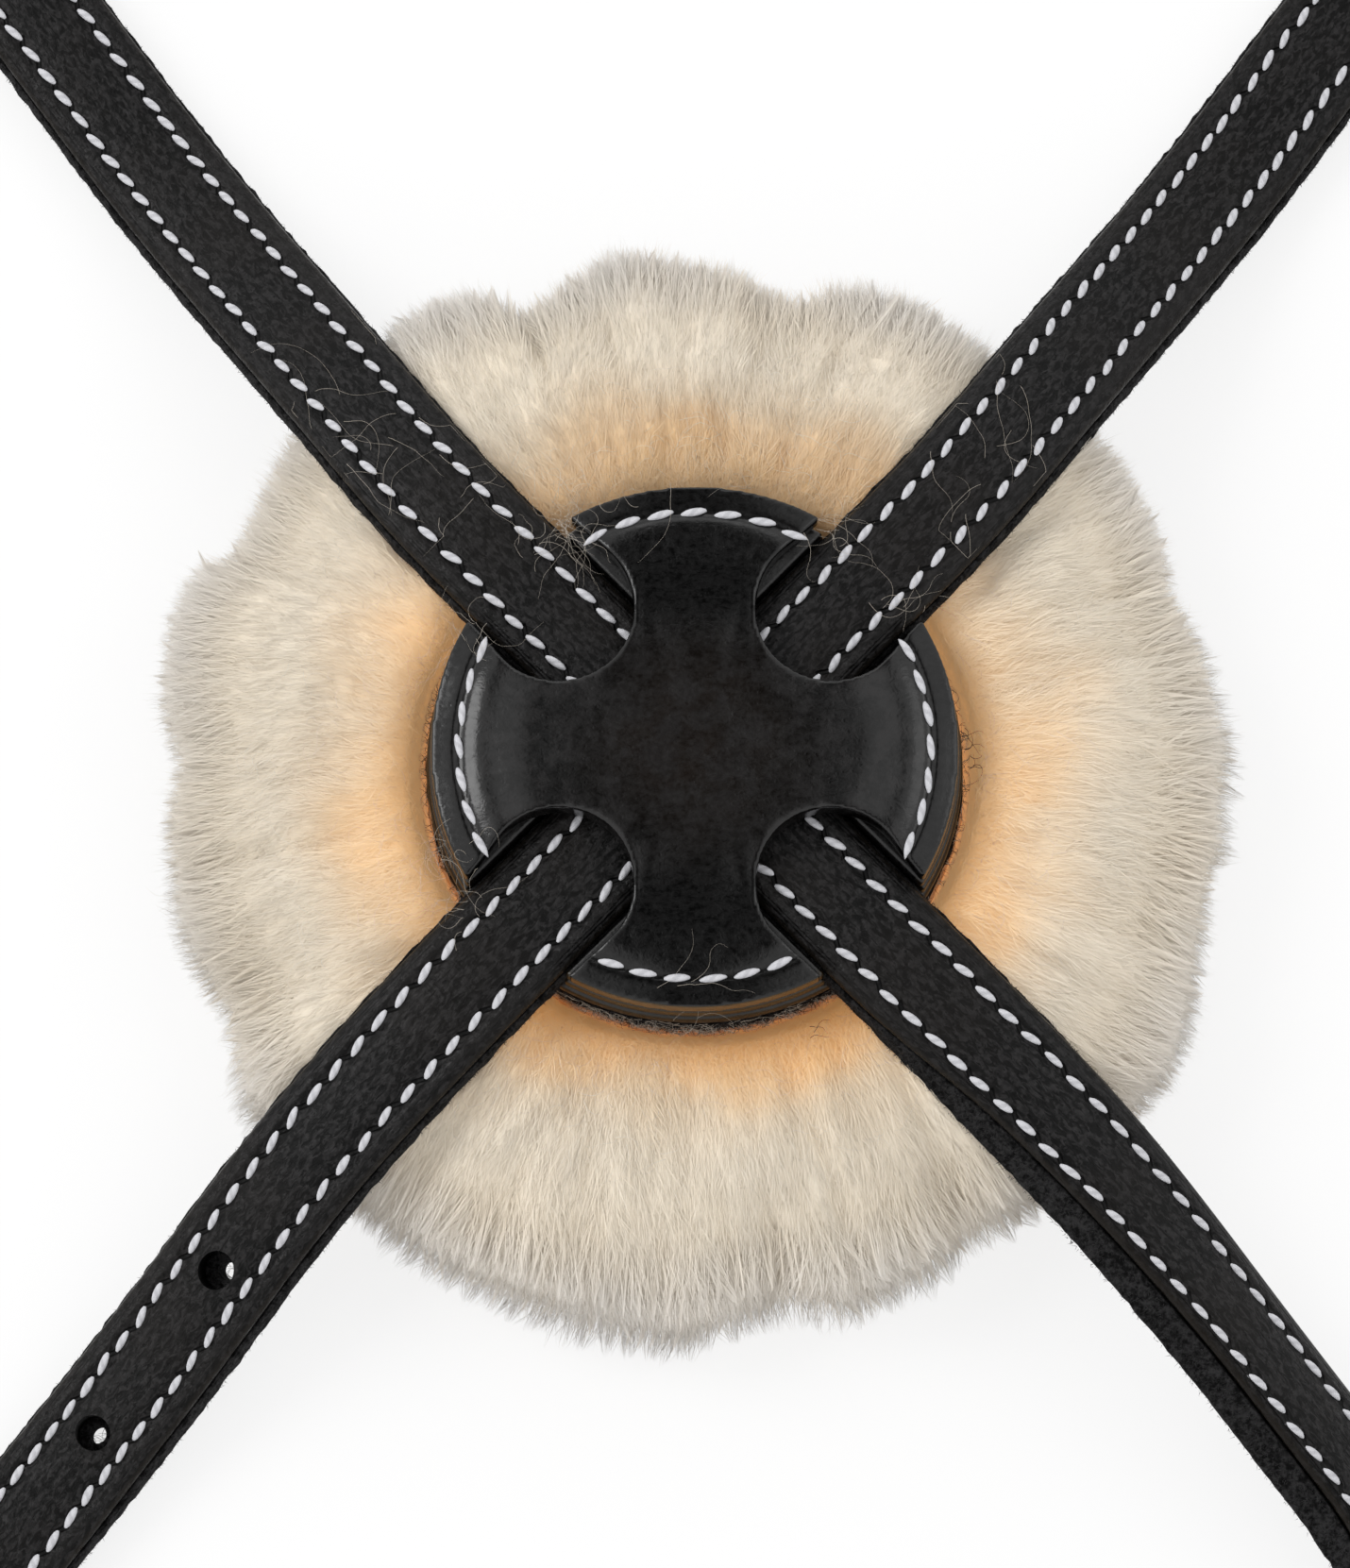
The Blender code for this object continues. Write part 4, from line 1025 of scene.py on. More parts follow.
def thin_hairs(name, lines, radius, material, body=None):
    """Hairs as three-sided tubes through their lines of points, thinning to the tip."""
    points, faces = [], []
    for line in lines:
        line = np.asarray(line)
        ways = unit(np.gradient(line, axis=0))
        side = unit(np.cross(ways, (0.31, 0.17, 0.93)))
        other = np.cross(ways, side)
        base, last = len(points), len(line) - 1
        for k, place in enumerate(line):
            thick = radius * (1 - 0.7 * k / last)
            for angle in THIRDS:
                around = side[k] * math.cos(angle) + other[k] * math.sin(angle)
                points.append(place + around * thick)
        for k in range(base, base + last * 3, 3):
            for a, b in ((k, k + 1), (k + 1, k + 2), (k + 2, k)):
                faces += [(a, b, b + 3), (a, b + 3, a + 3)]
        end = base + last * 3
        faces += [(base, base + 2, base + 1), (end, end + 1, end + 2)]
    return dress(mesh_of(name, points, faces), material, body)


def fibres(name, knots, thick, material, slot, normals=None, draw=None):
    """Closed three-sided fibres through their knots, each ending in a point.

    knots is a list of arrays, from the roots to the tips. normals is the lie of the pile.
    """
    count, rings = len(thick), len(knots) - 1
    tip = 3 * rings
    ways = unit(knots[-1] - knots[0])
    side = unit(np.cross(ways, (0.23, 0.11, 0.97)))
    other = np.cross(ways, side)
    points = np.empty((count, tip + 1, 3))
    faces = [(0, 2, 1)]
    for turn, angle in enumerate(THIRDS):
        around = side * math.cos(angle) + other * math.sin(angle)
        for k in range(rings):
            points[:, 3 * k + turn] = knots[k] + around * thick[:, None] * (1 - 0.2 * k)
        a, b = turn, (turn + 1) % 3
        for _ in range(rings - 1):
            faces += [(a, b, b + 3), (a, b + 3, a + 3)]
            a, b = a + 3, b + 3
        faces.append((a, b, tip))
    points[:, tip] = knots[-1]
    faces = np.array(faces)
    all_faces = faces[None] + (np.arange(count) * (tip + 1))[:, None, None]
    # Its map has the share of the way to the tip, and a draw that is the fibre's own
    shares = np.tile((faces // 3 / rings).ravel(), count)
    draw = np.zeros(count) if draw is None else draw
    places = np.stack([shares, np.repeat(draw, faces.size)], 1)
    shading = None
    if normals is not None:
        own = unit(points - points.mean(1, keepdims=True))
        shading = unit(normals[:, None, :] + own * 0.07).reshape(-1, 3)
    corners = all_faces.reshape(-1, 3)
    piece = mesh_of(name, points.reshape(-1, 3), corners, "wool_map", places, shading)
    return dress(piece, material)


def lining_nap(name, path, start, end, holes, bare):
    """Short pile along a lining's sides, and fibres across its punched holes."""
    count = round((end - start) * (48000 if bare else 19000))
    side = np.where(draws.random(count) < 0.5, -1.0, 1.0)
    along = start + (end - start) * draws.random(count)
    roots = np.stack([along, side * 0.00685, draws.uniform(-0.0008, 0.0019, count)], 1)
    lean = draws.normal(0.0, 0.00024, (count, 2))
    reach = side * draws.uniform(0.00010, 0.00042, count)
    tips = roots + np.stack([lean[:, 0], reach, lean[:, 1]], 1)
    if bare:
        roots, tips = (bared(ends, bare, BARE_FOOT) for ends in (roots, tips))
    knots = [path.lay(roots), path.lay(tips)]
    pieces = [fibres(name + "_nap", knots, np.full(count, 0.000035), BLACK_HAIR, "black_suede")]
    lines = []
    for at in holes:
        for _ in range(16):
            angle = chance.uniform(0, math.tau)
            x, y = math.cos(angle) * 0.00105, math.sin(angle) * 0.00105
            height = chance.uniform(-0.0009, 0.0011)
            way = (-x + chance.gauss(0, 0.0004), -y + chance.gauss(0, 0.0004), 0.0)
            line = curl((at + x, y, height), way, chance.uniform(0.0006, 0.0017), 0.3, 8, 0.3)
            lines.append(path.lay(np.array(line)))
    if lines:
        pieces.append(thin_hairs(name + "_hole_fibres", lines, 0.000035, BLACK_HAIR))
    return pieces


def rough_edges(flat):
    """A lining's edges, drawn in and out a little where the flesh side was cut."""
    wave, finer = field(flat, 900.0), field(flat, 2400.0)
    beside = smooth_share(np.abs(flat[:, 1]), 0.0060, 0.0064)
    flat[:, 1] += np.sign(flat[:, 1]) * (wave * 0.00018 + finer * 0.00014) * beside
    flat[:, 2] += (wave * 0.00014 + finer * 0.00010) * beside * (flat[:, 2] > 0.0013)
    return flat


def strap(
    name, route, body, turn_in=None, turn_out=None, pointed=False, holes=(), bare=0, middle=()
):
    """A strap's face, lining and stitching. An arm's face takes in its middle, inside the rosette."""
    arm = not turn_in
    start = INNER_END if arm else 0.0
    bend = route if arm else None
    face_path = Path(route, FACE_MIDDLE, start, route.end, turn_in, turn_out)
    lining_start = TURN_LAP + LAYER_GAP if turn_in else start
    lining_end = route.end - (TURN_LAP + LAYER_GAP if turn_out else 0.0)
    lining_path = Path(route, LINING_MIDDLE, lining_start, lining_end)
    face = ("_face", face_path, FACE_TOP, 0.0012, (HOLE_RADIUS, 0.0), -BARE_FACE, middle)
    lining = ("_lining", lining_path, LINING_TOP, 0.0009, (FIBRE_HOLE, 0.0003), BARE_FOOT, ())
    for word, path, half, gap, hole, at_foot, also in (face, lining):
        piece = rolled_grid(name + word, steps(path.at[0], path.at[-1], gap), half)
        if holes:
            punch(piece, holes, *hole)
        flat = points_of(piece.data)
        if path is lining_path:
            flat = rough_edges(flat)
        if bare:
            flat = bared(flat, bare, at_foot)
        if pointed:
            flat[:, 1] *= point_width(route.end - flat[:, 0])
        move_points(piece.data, path.lay(flat))
        smooth_faces(piece, 50)
        if path is lining_path:
            dress(piece, LINING_SUEDE)
        else:
            dress(piece, STRAP_LEATHER)
        bind(piece, body, bend)
        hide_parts(name + word, *also)
    nap_start = max(lining_path.at[0] + 0.0005, 0.026) if arm else lining_path.at[0] + 0.0005
    nap_end = lining_path.at[-1] - (POINT_LENGTH if pointed else 0.0005)
    for piece in lining_nap(name, lining_path, nap_start, nap_end, holes, bare):
        bind(piece, body, bend)
    row_start = 0.005 if turn_in else face_path.at[0] + 0.001
    row_end = route.end - (0.005 if turn_out else 0.013 if pointed else 0.004)
    rows = strap_rows(name + "_stitching", face_path, lining_path, row_start, row_end, holes)
    bind(rows, body, bend)


def cover_underside(x, y):
    """Height of the cover's underside: level over the straps, and lower at the rim."""
    return COVER_LEVEL - COVER_DROP * smooth_share(np.hypot(x, y), COVER_LEVEL_REACH, COVER_RADIUS)


def cover_stretch(y):
    """The cover was pulled a little longer towards the cheek rings when it was sewn down."""
    return y + 0.0009 * smooth_share(y, 0.012, 0.026) - 0.0003 * smooth_share(-y, 0.012, 0.026)


def cover_swell(x, y):
    """How far the cover's top stands over a plain sheet: a low dome, sagging in the lobes."""
    out, angle = np.hypot(x, y), np.arctan2(y, x)
    quarter = np.abs((angle + math.pi / 4) % (math.pi / 2) - math.pi / 4)
    on_lobe = 1 - smooth_share(quarter, math.radians(18), math.radians(38))
    dome = 0.00105 * (1 - np.clip(np.abs(x) / 0.0290, 0.0, 1.0) ** 2.0)
    dome -= 0.00085 * smooth_share(np.abs(y), 0.006, 0.024)
    sag = np.exp(-(((out - 0.0165) / 0.0045) ** 2)) * on_lobe * smooth_share(np.abs(y), 0.006, 0.012)
    sewn = 1 - smooth_share(quarter, math.radians(25), math.radians(30))
    channel = np.exp(-(((out - RIM_ROW) / 0.00042) ** 2)) * sewn
    puff = np.exp(-(((out - 0.0231) / 0.0011) ** 2)) * sewn
    flange = smooth_share(out, 0.0262, 0.0280)
    return dome - sag * 0.00070 + puff * 0.00016 - channel * 0.00030 - flange * 0.00010


def round_lobe_corners(mesh):
    """Rounds the upright edges where the notches meet the cover's rim."""
    work = bmesh.new()
    work.from_mesh(mesh)
    bmesh.ops.dissolve_limit(work, angle_limit=math.radians(0.5), verts=work.verts, edges=work.edges)
    corners = []
    for edge in work.edges:
        first, second = (v.co for v in edge.verts)
        upright = abs(first.z - second.z) > COVER_THICKNESS / 2
        on_rim = abs(first.xy.length - COVER_RADIUS) < 0.0003
        if upright and on_rim and edge.calc_face_angle(0.0) > math.radians(40):
            corners.append(edge)
    bmesh.ops.bevel(
        work, geom=corners, affect="EDGES", offset=LOBE_CORNER, segments=8, profile=0.5
    )
    work.to_mesh(mesh)
    work.free()


def rosette_cover():
    """The notched cover: punched out, its edges rubbed round, and drawn down over the lobes."""
    cover = cylinder(
        "rosette_cover_leather", 192, COVER_RADIUS, -COVER_THICKNESS / 2, COVER_THICKNESS / 2
    )
    straps = (CROSS_ANGLE, math.pi - CROSS_ANGLE)
    for way in [strap_way + turn for turn in (0.0, math.pi) for strap_way in straps]:
        notch = cylinder("notch", 64, NOTCH_RADIUS, -CUTTER_DEPTH / 2, CUTTER_DEPTH / 2)
        flat = points_of(notch.data)
        outer = flat[:, 0] > 0
        # The outer half of the punch is drawn out past the rim and flares to the mouth's width
        share = np.where(outer, flat[:, 0] / NOTCH_RADIUS, 0.0)
        reach = COVER_RADIUS - NOTCH_REACH + 0.004
        side = np.sign(flat[:, 1]) * (NOTCH_RADIUS + (NOTCH_MOUTH / 2 - NOTCH_RADIUS) * share)
        along = np.where(outer, share * reach, flat[:, 0]) + NOTCH_REACH
        aside = np.where(outer, side, flat[:, 1])
        flat[:, 0] = along * math.cos(way) - aside * math.sin(way)
        flat[:, 1] = along * math.sin(way) + aside * math.cos(way)
        move_points(notch.data, flat)
        cut_away(cover, notch)
    round_lobe_corners(cover.data)
    rub_edges(cover, 0.0007, 3)
    even = cover.modifiers.new("even", "REMESH")
    even.mode = "VOXEL"
    even.voxel_size = 0.00032
    soft = cover.modifiers.new("soft", "SMOOTH")
    soft.factor = 0.5
    soft.iterations = 4
    apply_modifiers(cover)
    points = points_of(cover.data)
    x, y, z = points.T
    top = np.clip(z / COVER_THICKNESS + 0.5, 0.0, 1.0)
    wave = field(np.stack([x, y, z * 0], 1), 150.0, 3.1)
    points[:, 2] += cover_underside(x, y) + COVER_THICKNESS / 2
    points[:, 2] += top * (cover_swell(x, y) + wave * 0.00010)
    points[:, 1] = cover_stretch(points[:, 1])
    move_points(cover.data, points)
    smooth_faces(cover, 60)
    dress(cover, COVER_LEATHER, "rosette", ["rosette_cover"])


def cover_stitching():
    """Four arcs of stitches, one on each lobe."""
    places, angles = [], []
    step = math.degrees(RIM_PITCH / RIM_ROW)
    for middle, half in ((90, 26.5), (0, 26.5), (-90, 25.0), (180, 26.5)):
        count = int(2 * half / step)
        for k in range(count + 1):
            angle = math.radians(middle + (k - count / 2) * step)
            x, y = RIM_ROW * math.cos(angle), RIM_ROW * math.sin(angle)
            height = float(cover_underside(x, y) + cover_swell(x, y)) + COVER_THICKNESS
            places.append((x, cover_stretch(y), height + 0.00020))
            angles.append(angle)
    ups = np.tile((0.0, 0.0, 1.0), (len(places), 1))
    longer = np.array([1.10, 1.0, 1.0])
    aheads = round_ways(np.array(angles))
    piece = stitching("cover_stitching", np.array(places), aheads, ups, math.radians(9), longer)
    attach(piece, "rosette")


def spacer_layer(word, way, half_angle, bottom, top, radius):
    """One leather layer of a lobe's filling, its rim rubbed round."""
    title = "rosette_%s_filling_%d" % (word, round(bottom * 10000))
    piece = cylinder(title, 192, radius, bottom, top)
    apply_place(piece)
    bpy.ops.object.mode_set(mode="EDIT")
    for side in (-1, 1):
        angle = way + side * half_angle
        # Beside each strap the layer is cut off square
        normal = Vector((-math.sin(angle), math.cos(angle), 0.0)) * side
        bpy.ops.mesh.select_all(action="SELECT")
        bpy.ops.mesh.bisect(
            plane_co=normal * -SPACER_BESIDE, plane_no=normal, clear_outer=True, use_fill=True
        )
    bpy.ops.object.mode_set(mode="OBJECT")
    rub_edges(piece, 0.0005, 4)
    apply_modifiers(piece)
    points = points_of(piece.data)
    points[:, 1] *= np.where(points[:, 1] > 0.0, 1.0, DISC_SQUASH)
    move_points(piece.data, points)
    smooth_faces(piece, 40)
    return dress(piece, FILLING_LEATHER, "rosette")


def rosette_filling():
    """Each lobe's spacer as the two layers that it is glued up from."""
    middle, top = SPACER_BOTTOM + SPACER_THICKNESS / 2, SPACER_BOTTOM + SPACER_THICKNESS
    beside = math.pi / 2 - CROSS_ANGLE
    for word, way, half_angle in (
        ("top", math.pi / 2, beside),
        ("right", 0.0, CROSS_ANGLE),
        ("bottom", -math.pi / 2, beside),
        ("left", math.pi, CROSS_ANGLE),
    ):
        low = spacer_layer(word, way, half_angle, SPACER_BOTTOM, middle, LOWER_SPACER_RADIUS)
        spacer_layer(word, way, half_angle, middle, top, UPPER_SPACER_RADIUS)
        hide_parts("rosette_spacer_" + word)


def rosette_disc(name, node, radius, edge, material, slot, ragged=0.0):
    """A disc of the rosette, as thick as its node, with a rounded and slightly uneven rim."""
    low, high = (corner[2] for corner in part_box(node))
    piece = cylinder(name, 256, radius, low, high)
    bpy.ops.object.mode_set(mode="EDIT")
    bpy.ops.mesh.select_all(action="SELECT")
    bpy.ops.mesh.bisect(plane_co=(0, 0, (high + low) / 2), plane_no=(0, 0, 1))
    bpy.ops.object.mode_set(mode="OBJECT")
    apply_place(piece)
    rub_edges(piece, edge, 4)
    apply_modifiers(piece)
    points = points_of(piece.data)
    out = np.hypot(points[:, 0], points[:, 1])
    share = 1 + np.where(out > 0.6 * radius, field(points, 420.0) * ragged / radius, 0.0)
    points[:, 0] *= share
    points[:, 1] *= share * np.where((points[:, 1] > 0.0) & (ragged == 0.0), 1.0, DISC_SQUASH)
    move_points(piece.data, points)
    smooth_faces(piece, 40)
    dress(piece, material, "rosette", [node])


def rim_fuzz():
    """Nap of the underlay's and backing's cut edges, black with pale fibres caught in it."""
    for name, count, reach, material in (
        ("underlay_nap", 1050, 0.0014, BLACK_HAIR),
        ("underlay_fluff", 760, 0.0024, PALE_HAIR),
    ):
        lines = []
        for _ in range(count):
            angle = chance.uniform(0.0, math.tau)
            if chance.random() < 0.45:
                # More of it shows on the side next to the chin
                angle = math.radians(chance.gauss(-92, 24))
            height = chance.uniform(0.0144, 0.0172)
            out = UNDERLAY_RADIUS + chance.uniform(-0.0002, 0.0001)
            start = (out * math.cos(angle), out * math.sin(angle), height)
            way = (
                math.cos(angle) * 0.35 - math.sin(angle) * chance.uniform(-1, 1),
                math.sin(angle) * 0.35 + math.cos(angle) * chance.uniform(-1, 1),
                chance.uniform(-0.5, 0.5),
            )
            line = np.array(curl(start, way, reach * chance.uniform(0.5, 1.3), 0.5, 6, 0.6))
            away = np.hypot(line[:, 0], line[:, 1])
            hold = np.clip(away, UNDERLAY_RADIUS - 0.0001, UNDERLAY_RADIUS + 0.0007) / away
            line[:, :2] *= hold[:, None]
            line[:, 1] *= DISC_SQUASH
            lines.append(line)
        thin_hairs(name, lines, 0.000032, material, "rosette")


# (direction from +X in degrees, radius in millimetres) round the outline of the fleece
FLEECE_OUTLINE = (
    (4, 58.4), (14, 57.6), (24, 56.3), (27, 58.6), (38, 59.9), (46, 59.6), (61, 60.0),
    (66, 61.2), (73, 60.1), (78, 56.9), (84, 58.4), (93, 60.9), (99, 62.3), (105, 58.7),
    (110, 57.5), (113, 62.0), (119, 62.7), (122, 62.0), (135, 58.4), (138, 59.7),
    (147, 57.4), (153, 57.4), (155, 60.1), (164, 60.1), (170, 59.1), (176, 55.8),
    (183, 57.3), (198, 57.6), (207, 56.2), (216, 59.7), (231, 58.9), (244, 59.5),
    (254, 59.6), (262, 60.5), (269, 61.1), (273, 59.4), (280, 57.0), (286, 60.0),
    (296, 59.0), (300, 57.6), (308, 58.9), (323, 59.5), (328, 60.5), (337, 58.4),
    (350, 56.3), (354, 57.9), (359, 57.0),
)
# (reach, height) of the wool, from the hide over its top to under the rim
WOOL_PROFILE = (
    (0.0298, 0.0126), (0.0300, 0.0136), (0.0310, 0.0149), (0.0328, 0.0163), (0.0352, 0.0177),
    (0.0382, 0.0188), (0.0415, 0.0190), (0.0450, 0.0181), (0.0485, 0.0163), (0.0515, 0.0138),
    (0.0538, 0.0110), (0.0548, 0.0082), (0.0545, 0.0055), (0.0530, 0.0030), (0.0508, 0.0012),
    (0.0485, 0.0004),
)


def fleece_outline(angle):
    turns = [row[0] for row in FLEECE_OUTLINE]
    reaches = [row[1] / 1000 for row in FLEECE_OUTLINE]
    return np.interp(np.degrees(angle) % 360, turns, reaches, period=360)


def wool_profile(across):
    """(reach, height) of the wool's profile. across goes from 0 at the hide to 1 under the rim."""
    knots = np.linspace(0.0, 1.0, len(WOOL_PROFILE))
    return [np.interp(across, knots, column) for column in zip(*WOOL_PROFILE)]


def wool_surface(angle, across):
    """Points of the wool's body, by the angle round it and across its profile."""
    out, height = wool_profile(across)
    edge = fleece_outline(angle)
    reach = edge - FIBRE_REACH - WOOL_REACH
    # Locks run outwards, so the swelling changes slowly that way and quickly round the pad
    around, finer = radial_ways(angle) * 8.0, radial_ways(angle) * 27.0
    around[:, 2], finer[:, 2] = out * 60.0, out * 150.0
    swell = field(around, 1.0) * 0.0018 + field(finer, 1.0, 5.0) * 0.0006
    free = smooth_share(out, 0.0300, 0.0345)
    out = out + reach * smooth_share(out, 0.040, 0.055) + swell * free * 0.4
    top = smooth_share(height, 0.0040, 0.0120)
    # The fleece parts where its outline draws in
    parting = np.clip(0.0596 - edge, 0.0, 0.004) * smooth_share(out, 0.038, 0.054) * 0.80
    # It stands up close to the rosette, but for the side next to the chin
    close = smooth_share(out, 0.0299, 0.0307) * (1 - smooth_share(out, 0.0312, 0.0380))
    close *= 1 - smooth_share(-np.sin(angle), 0.35, 0.80) * 0.8
    points = radial_ways(angle) * out[:, None]
    points[:, 2] = height + (swell * free - parting) * top + close * 0.0032
    points[:, 1] *= 1 - (1 - DISC_SQUASH) * (1 - smooth_share(out, 0.030, 0.040))
    return points


def strap_lines(routes):
    """Points along the arms over the fleece: (plan places, heights of the underside)."""
    places, heights = [], []
    for route in routes:
        for step in range(92):
            place, _, _, _ = route.frame(0.022 + step * 0.0005)
            places.append((place.x, place.y))
            heights.append(place.z)
    return np.array(places), np.array(heights)


def under_straps(points, lines):
    """Distance of each point from the nearest arm's middle in plan, and that arm's underside."""
    places, heights = lines
    near = np.empty(len(points))
    under = np.empty(len(points))
    for start in range(0, len(points), 20000):
        part = points[start : start + 20000, None, :2] - places[None, :, :]
        far = (part**2).sum(2)
        index = far.argmin(1)
        near[start : start + 20000] = np.sqrt(far[np.arange(len(index)), index])
        under[start : start + 20000] = heights[index]
    return near, under


def pressed(points, near, under, gap):
    """The points, held down under the arms."""
    roof = under - gap + smooth_share(near, ARM_HALF, BESIDE_ARM) * 0.02
    out = np.hypot(points[:, 0], points[:, 1])
    points[:, 2] = np.where(out < PRESSED_REACH, np.minimum(points[:, 2], roof), points[:, 2])
    return points


def held(points, lines):
    """Fibres stay under the arms, off the rosette's rim and above the table."""
    near, under = under_straps(points, lines)
    points = pressed(points, near, under, 0.0004)
    below = (near < ARM_HALF + 0.0001) & (points[:, 2] > under - 0.0003)
    points[below, 2] = under[below] - 0.0003
    out = np.hypot(points[:, 0], points[:, 1] / DISC_SQUASH)
    inside = (out < RIM_CLEAR) & (points[:, 2] > 0.0120)
    points[inside, :2] *= (RIM_CLEAR / out[inside])[:, None]
    points[:, 2] = np.maximum(points[:, 2], 0.0002)
    return points


def on_fleece(piece):
    """The piece rides on the rosette."""
    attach(piece, "rosette")


def wool_body(lines):
    """The wool's body: a ring turned from its profile, lobed, and pressed down under the arms."""
    turns, rows, closing = 640, 66, 3
    select_nothing()
    bpy.ops.mesh.primitive_grid_add(
        x_subdivisions=turns, y_subdivisions=rows + 2 * closing, size=1.0
    )
    piece = take("fleece_body")
    cells = points_of(piece.data) + 0.5
    row = np.rint(cells[:, 1] * (rows + 2 * closing))
    points = wool_surface(cells[:, 0] * math.tau, np.clip((row - closing) / rows, 0.0, 1.0))
    points = pressed(points, *under_straps(points, lines), 0.0006)
    # The first rows close the ring under the hide, the last under the pad
    for k in range(closing):
        for chosen, height in ((row == k, 0.0120), (row == rows + 2 * closing - k, 0.0004)):
            points[chosen, :2] *= k / closing
            points[chosen, 2] = height
    move_points(piece.data, points)
    join_seams()
    smooth_faces(piece, 180)
    dress(piece, WOOL_BODY, "rosette", ["sheepskin_wool"])


def wool_roots(count, reach):
    """Evenly scattered roots: (angles, across, places, and the flow's, round and upward ways)."""
    across = draws.random(count * 3) * reach
    angle = draws.random(count * 3) * math.tau
    keep = draws.random(count * 3) < wool_profile(across)[0] / 0.056
    across, angle = across[keep][:count], angle[keep][:count]
    places = wool_surface(angle, across)
    outward = unit(wool_surface(angle, np.minimum(across + 0.02, 1.0)) - places)
    normal = unit(np.cross(outward, wool_surface(angle + 0.02, across) - places))
    # The wool lies along its surface, and stands straight out at the pad's rim
    rim = smooth_share(across, 0.42, 0.66)[:, None]
    flow = unit(outward * (1 - rim * 0.9) + radial_ways(angle) * rim)
    return angle, across, places, flow, np.cross(normal, outward), normal


def group_tips(tips, group, groups):
    """The middle of the tips of each one's group."""
    middle = np.zeros((groups, 3))
    np.add.at(middle, group, tips)
    middle /= np.maximum(np.bincount(group, minlength=groups), 1)[:, None]
    return middle[group]


def fibre_thickness(usual, count):
    return usual * (1 + np.clip(draws.normal(0.0, 0.25, count), -0.5, 0.6))


def lay_wool(name, angle, knots, thick, lie, draw):
    """Fibres of the fleece as four pieces, one to each quarter."""
    quarter = np.floor((angle / (math.pi / 2)) % 4).astype(int)
    for k in range(4):
        own = quarter == k
        title, parts = "%s_%d" % (name, k + 1), [places[own] for places in knots]
        rest = (thick[own], WOOL_STRANDS, "cream_fleece", lie[own], draw[own])
        on_fleece(fibres(title, parts, *rest))


def long_wool(lines, count):
    """Long fibres that follow the flow of the fleece, gathered into small locks."""
    angle, across, roots, flow, round_way, normal = wool_roots(count, 0.90)
    locks = count // 9
    chosen = draws.permutation(count)[:locks]
    tree = KDTree(locks)
    for k, index in enumerate(chosen):
        tree.insert(roots[index], k)
    tree.balance()
    nearest = np.array([tree.find(place)[1] for place in roots.tolist()])
    lock_roots = roots[chosen]
    inner = 1 - smooth_share(across, 0.04, 0.32)
    lean = field(lock_roots, 40.0, 9.0) * 0.55 + field(lock_roots, 130.0, 2.0) * 0.5
    lean = lean + draws.normal(0.0, 0.07, locks)
    lean = lean[nearest] + draws.normal(0.0, 0.26 + inner * 0.45, count)
    lift = 0.15 + field(lock_roots, 100.0, 7.0) * 0.12 + draws.normal(0.0, 0.02, locks)
    lift = np.clip(lift[nearest] + inner * 0.25 + draws.normal(0.0, 0.09, count), 0.02, 0.9)
    length = 0.0046 * (1 + field(lock_roots, 80.0, 4.0) * 0.4)
    length = length[nearest] * (1 + draws.normal(0.0, 0.14, count)) * (1 - 0.35 * inner)
    # At the rim a fibre reaches to the outline
    way = swung(flow, round_way, lean)
    lock_reach = draws.normal(-0.0009, 0.00030, locks)[nearest] + draws.normal(0.0, 0.00012, count)
    left_over = fleece_outline(angle) + lock_reach - np.hypot(roots[:, 0], roots[:, 1])
    outgoing = np.maximum((way * radial_ways(angle)).sum(1), 0.5)
    rim = smooth_share(across, 0.50, 0.62) * (1 - smooth_share(across, 0.74, 0.86))
    length = length * (1 - rim) + np.clip(left_over / outgoing, 0.0012, 0.0070) * rim
    second = swung(way, normal, lift * 0.15)
    second[:, 2] -= 0.12 * (1 - rim)
    middle = roots + swung(way, normal, lift) * (length * 0.5)[:, None]
    tips = middle + unit(second) * (length * 0.5)[:, None]
    gather = 0.12 + 0.72 * smooth_share(across, 0.58, 0.68)
    tips += (group_tips(tips, nearest, locks) - tips) * gather[:, None]
    knots = [held(places, lines) for places in (roots - normal * 0.0002, middle, tips)]
    thick = fibre_thickness(0.000033, count)
    lie = normal * (1 - 0.8 * rim)[:, None]
    lie[:, 2] += 0.8 * rim
    lay_wool("fleece_strands", angle, knots, thick, unit(lie), draws.random(count))


def short_wool(lines, count):
    """Short fine fibres between the long ones, lying less evenly."""
    angle, across, roots, flow, round_way, normal = wool_roots(count, 0.80)
    inner = 1 - smooth_share(across, 0.04, 0.36)
    lean = draws.normal(0.0, 0.40 + inner * 0.6, count) + field(roots, 60.0, 3.0) * 0.7
    lift = np.clip(draws.normal(0.32, 0.18, count) + inner * 0.15, 0.03, 1.1)
    length = 0.0019 * (1 + np.clip(draws.normal(0.0, 0.3, count), -0.6, 0.8))
    way = swung(swung(flow, round_way, lean), normal, lift)
    ends = (roots - normal * 0.0001, roots + way * length[:, None])
    knots = [held(places, lines) for places in ends]
    thick = fibre_thickness(0.000032, count)
    lay_wool("fleece_undercoat", angle, knots, thick, normal, draws.random(count))


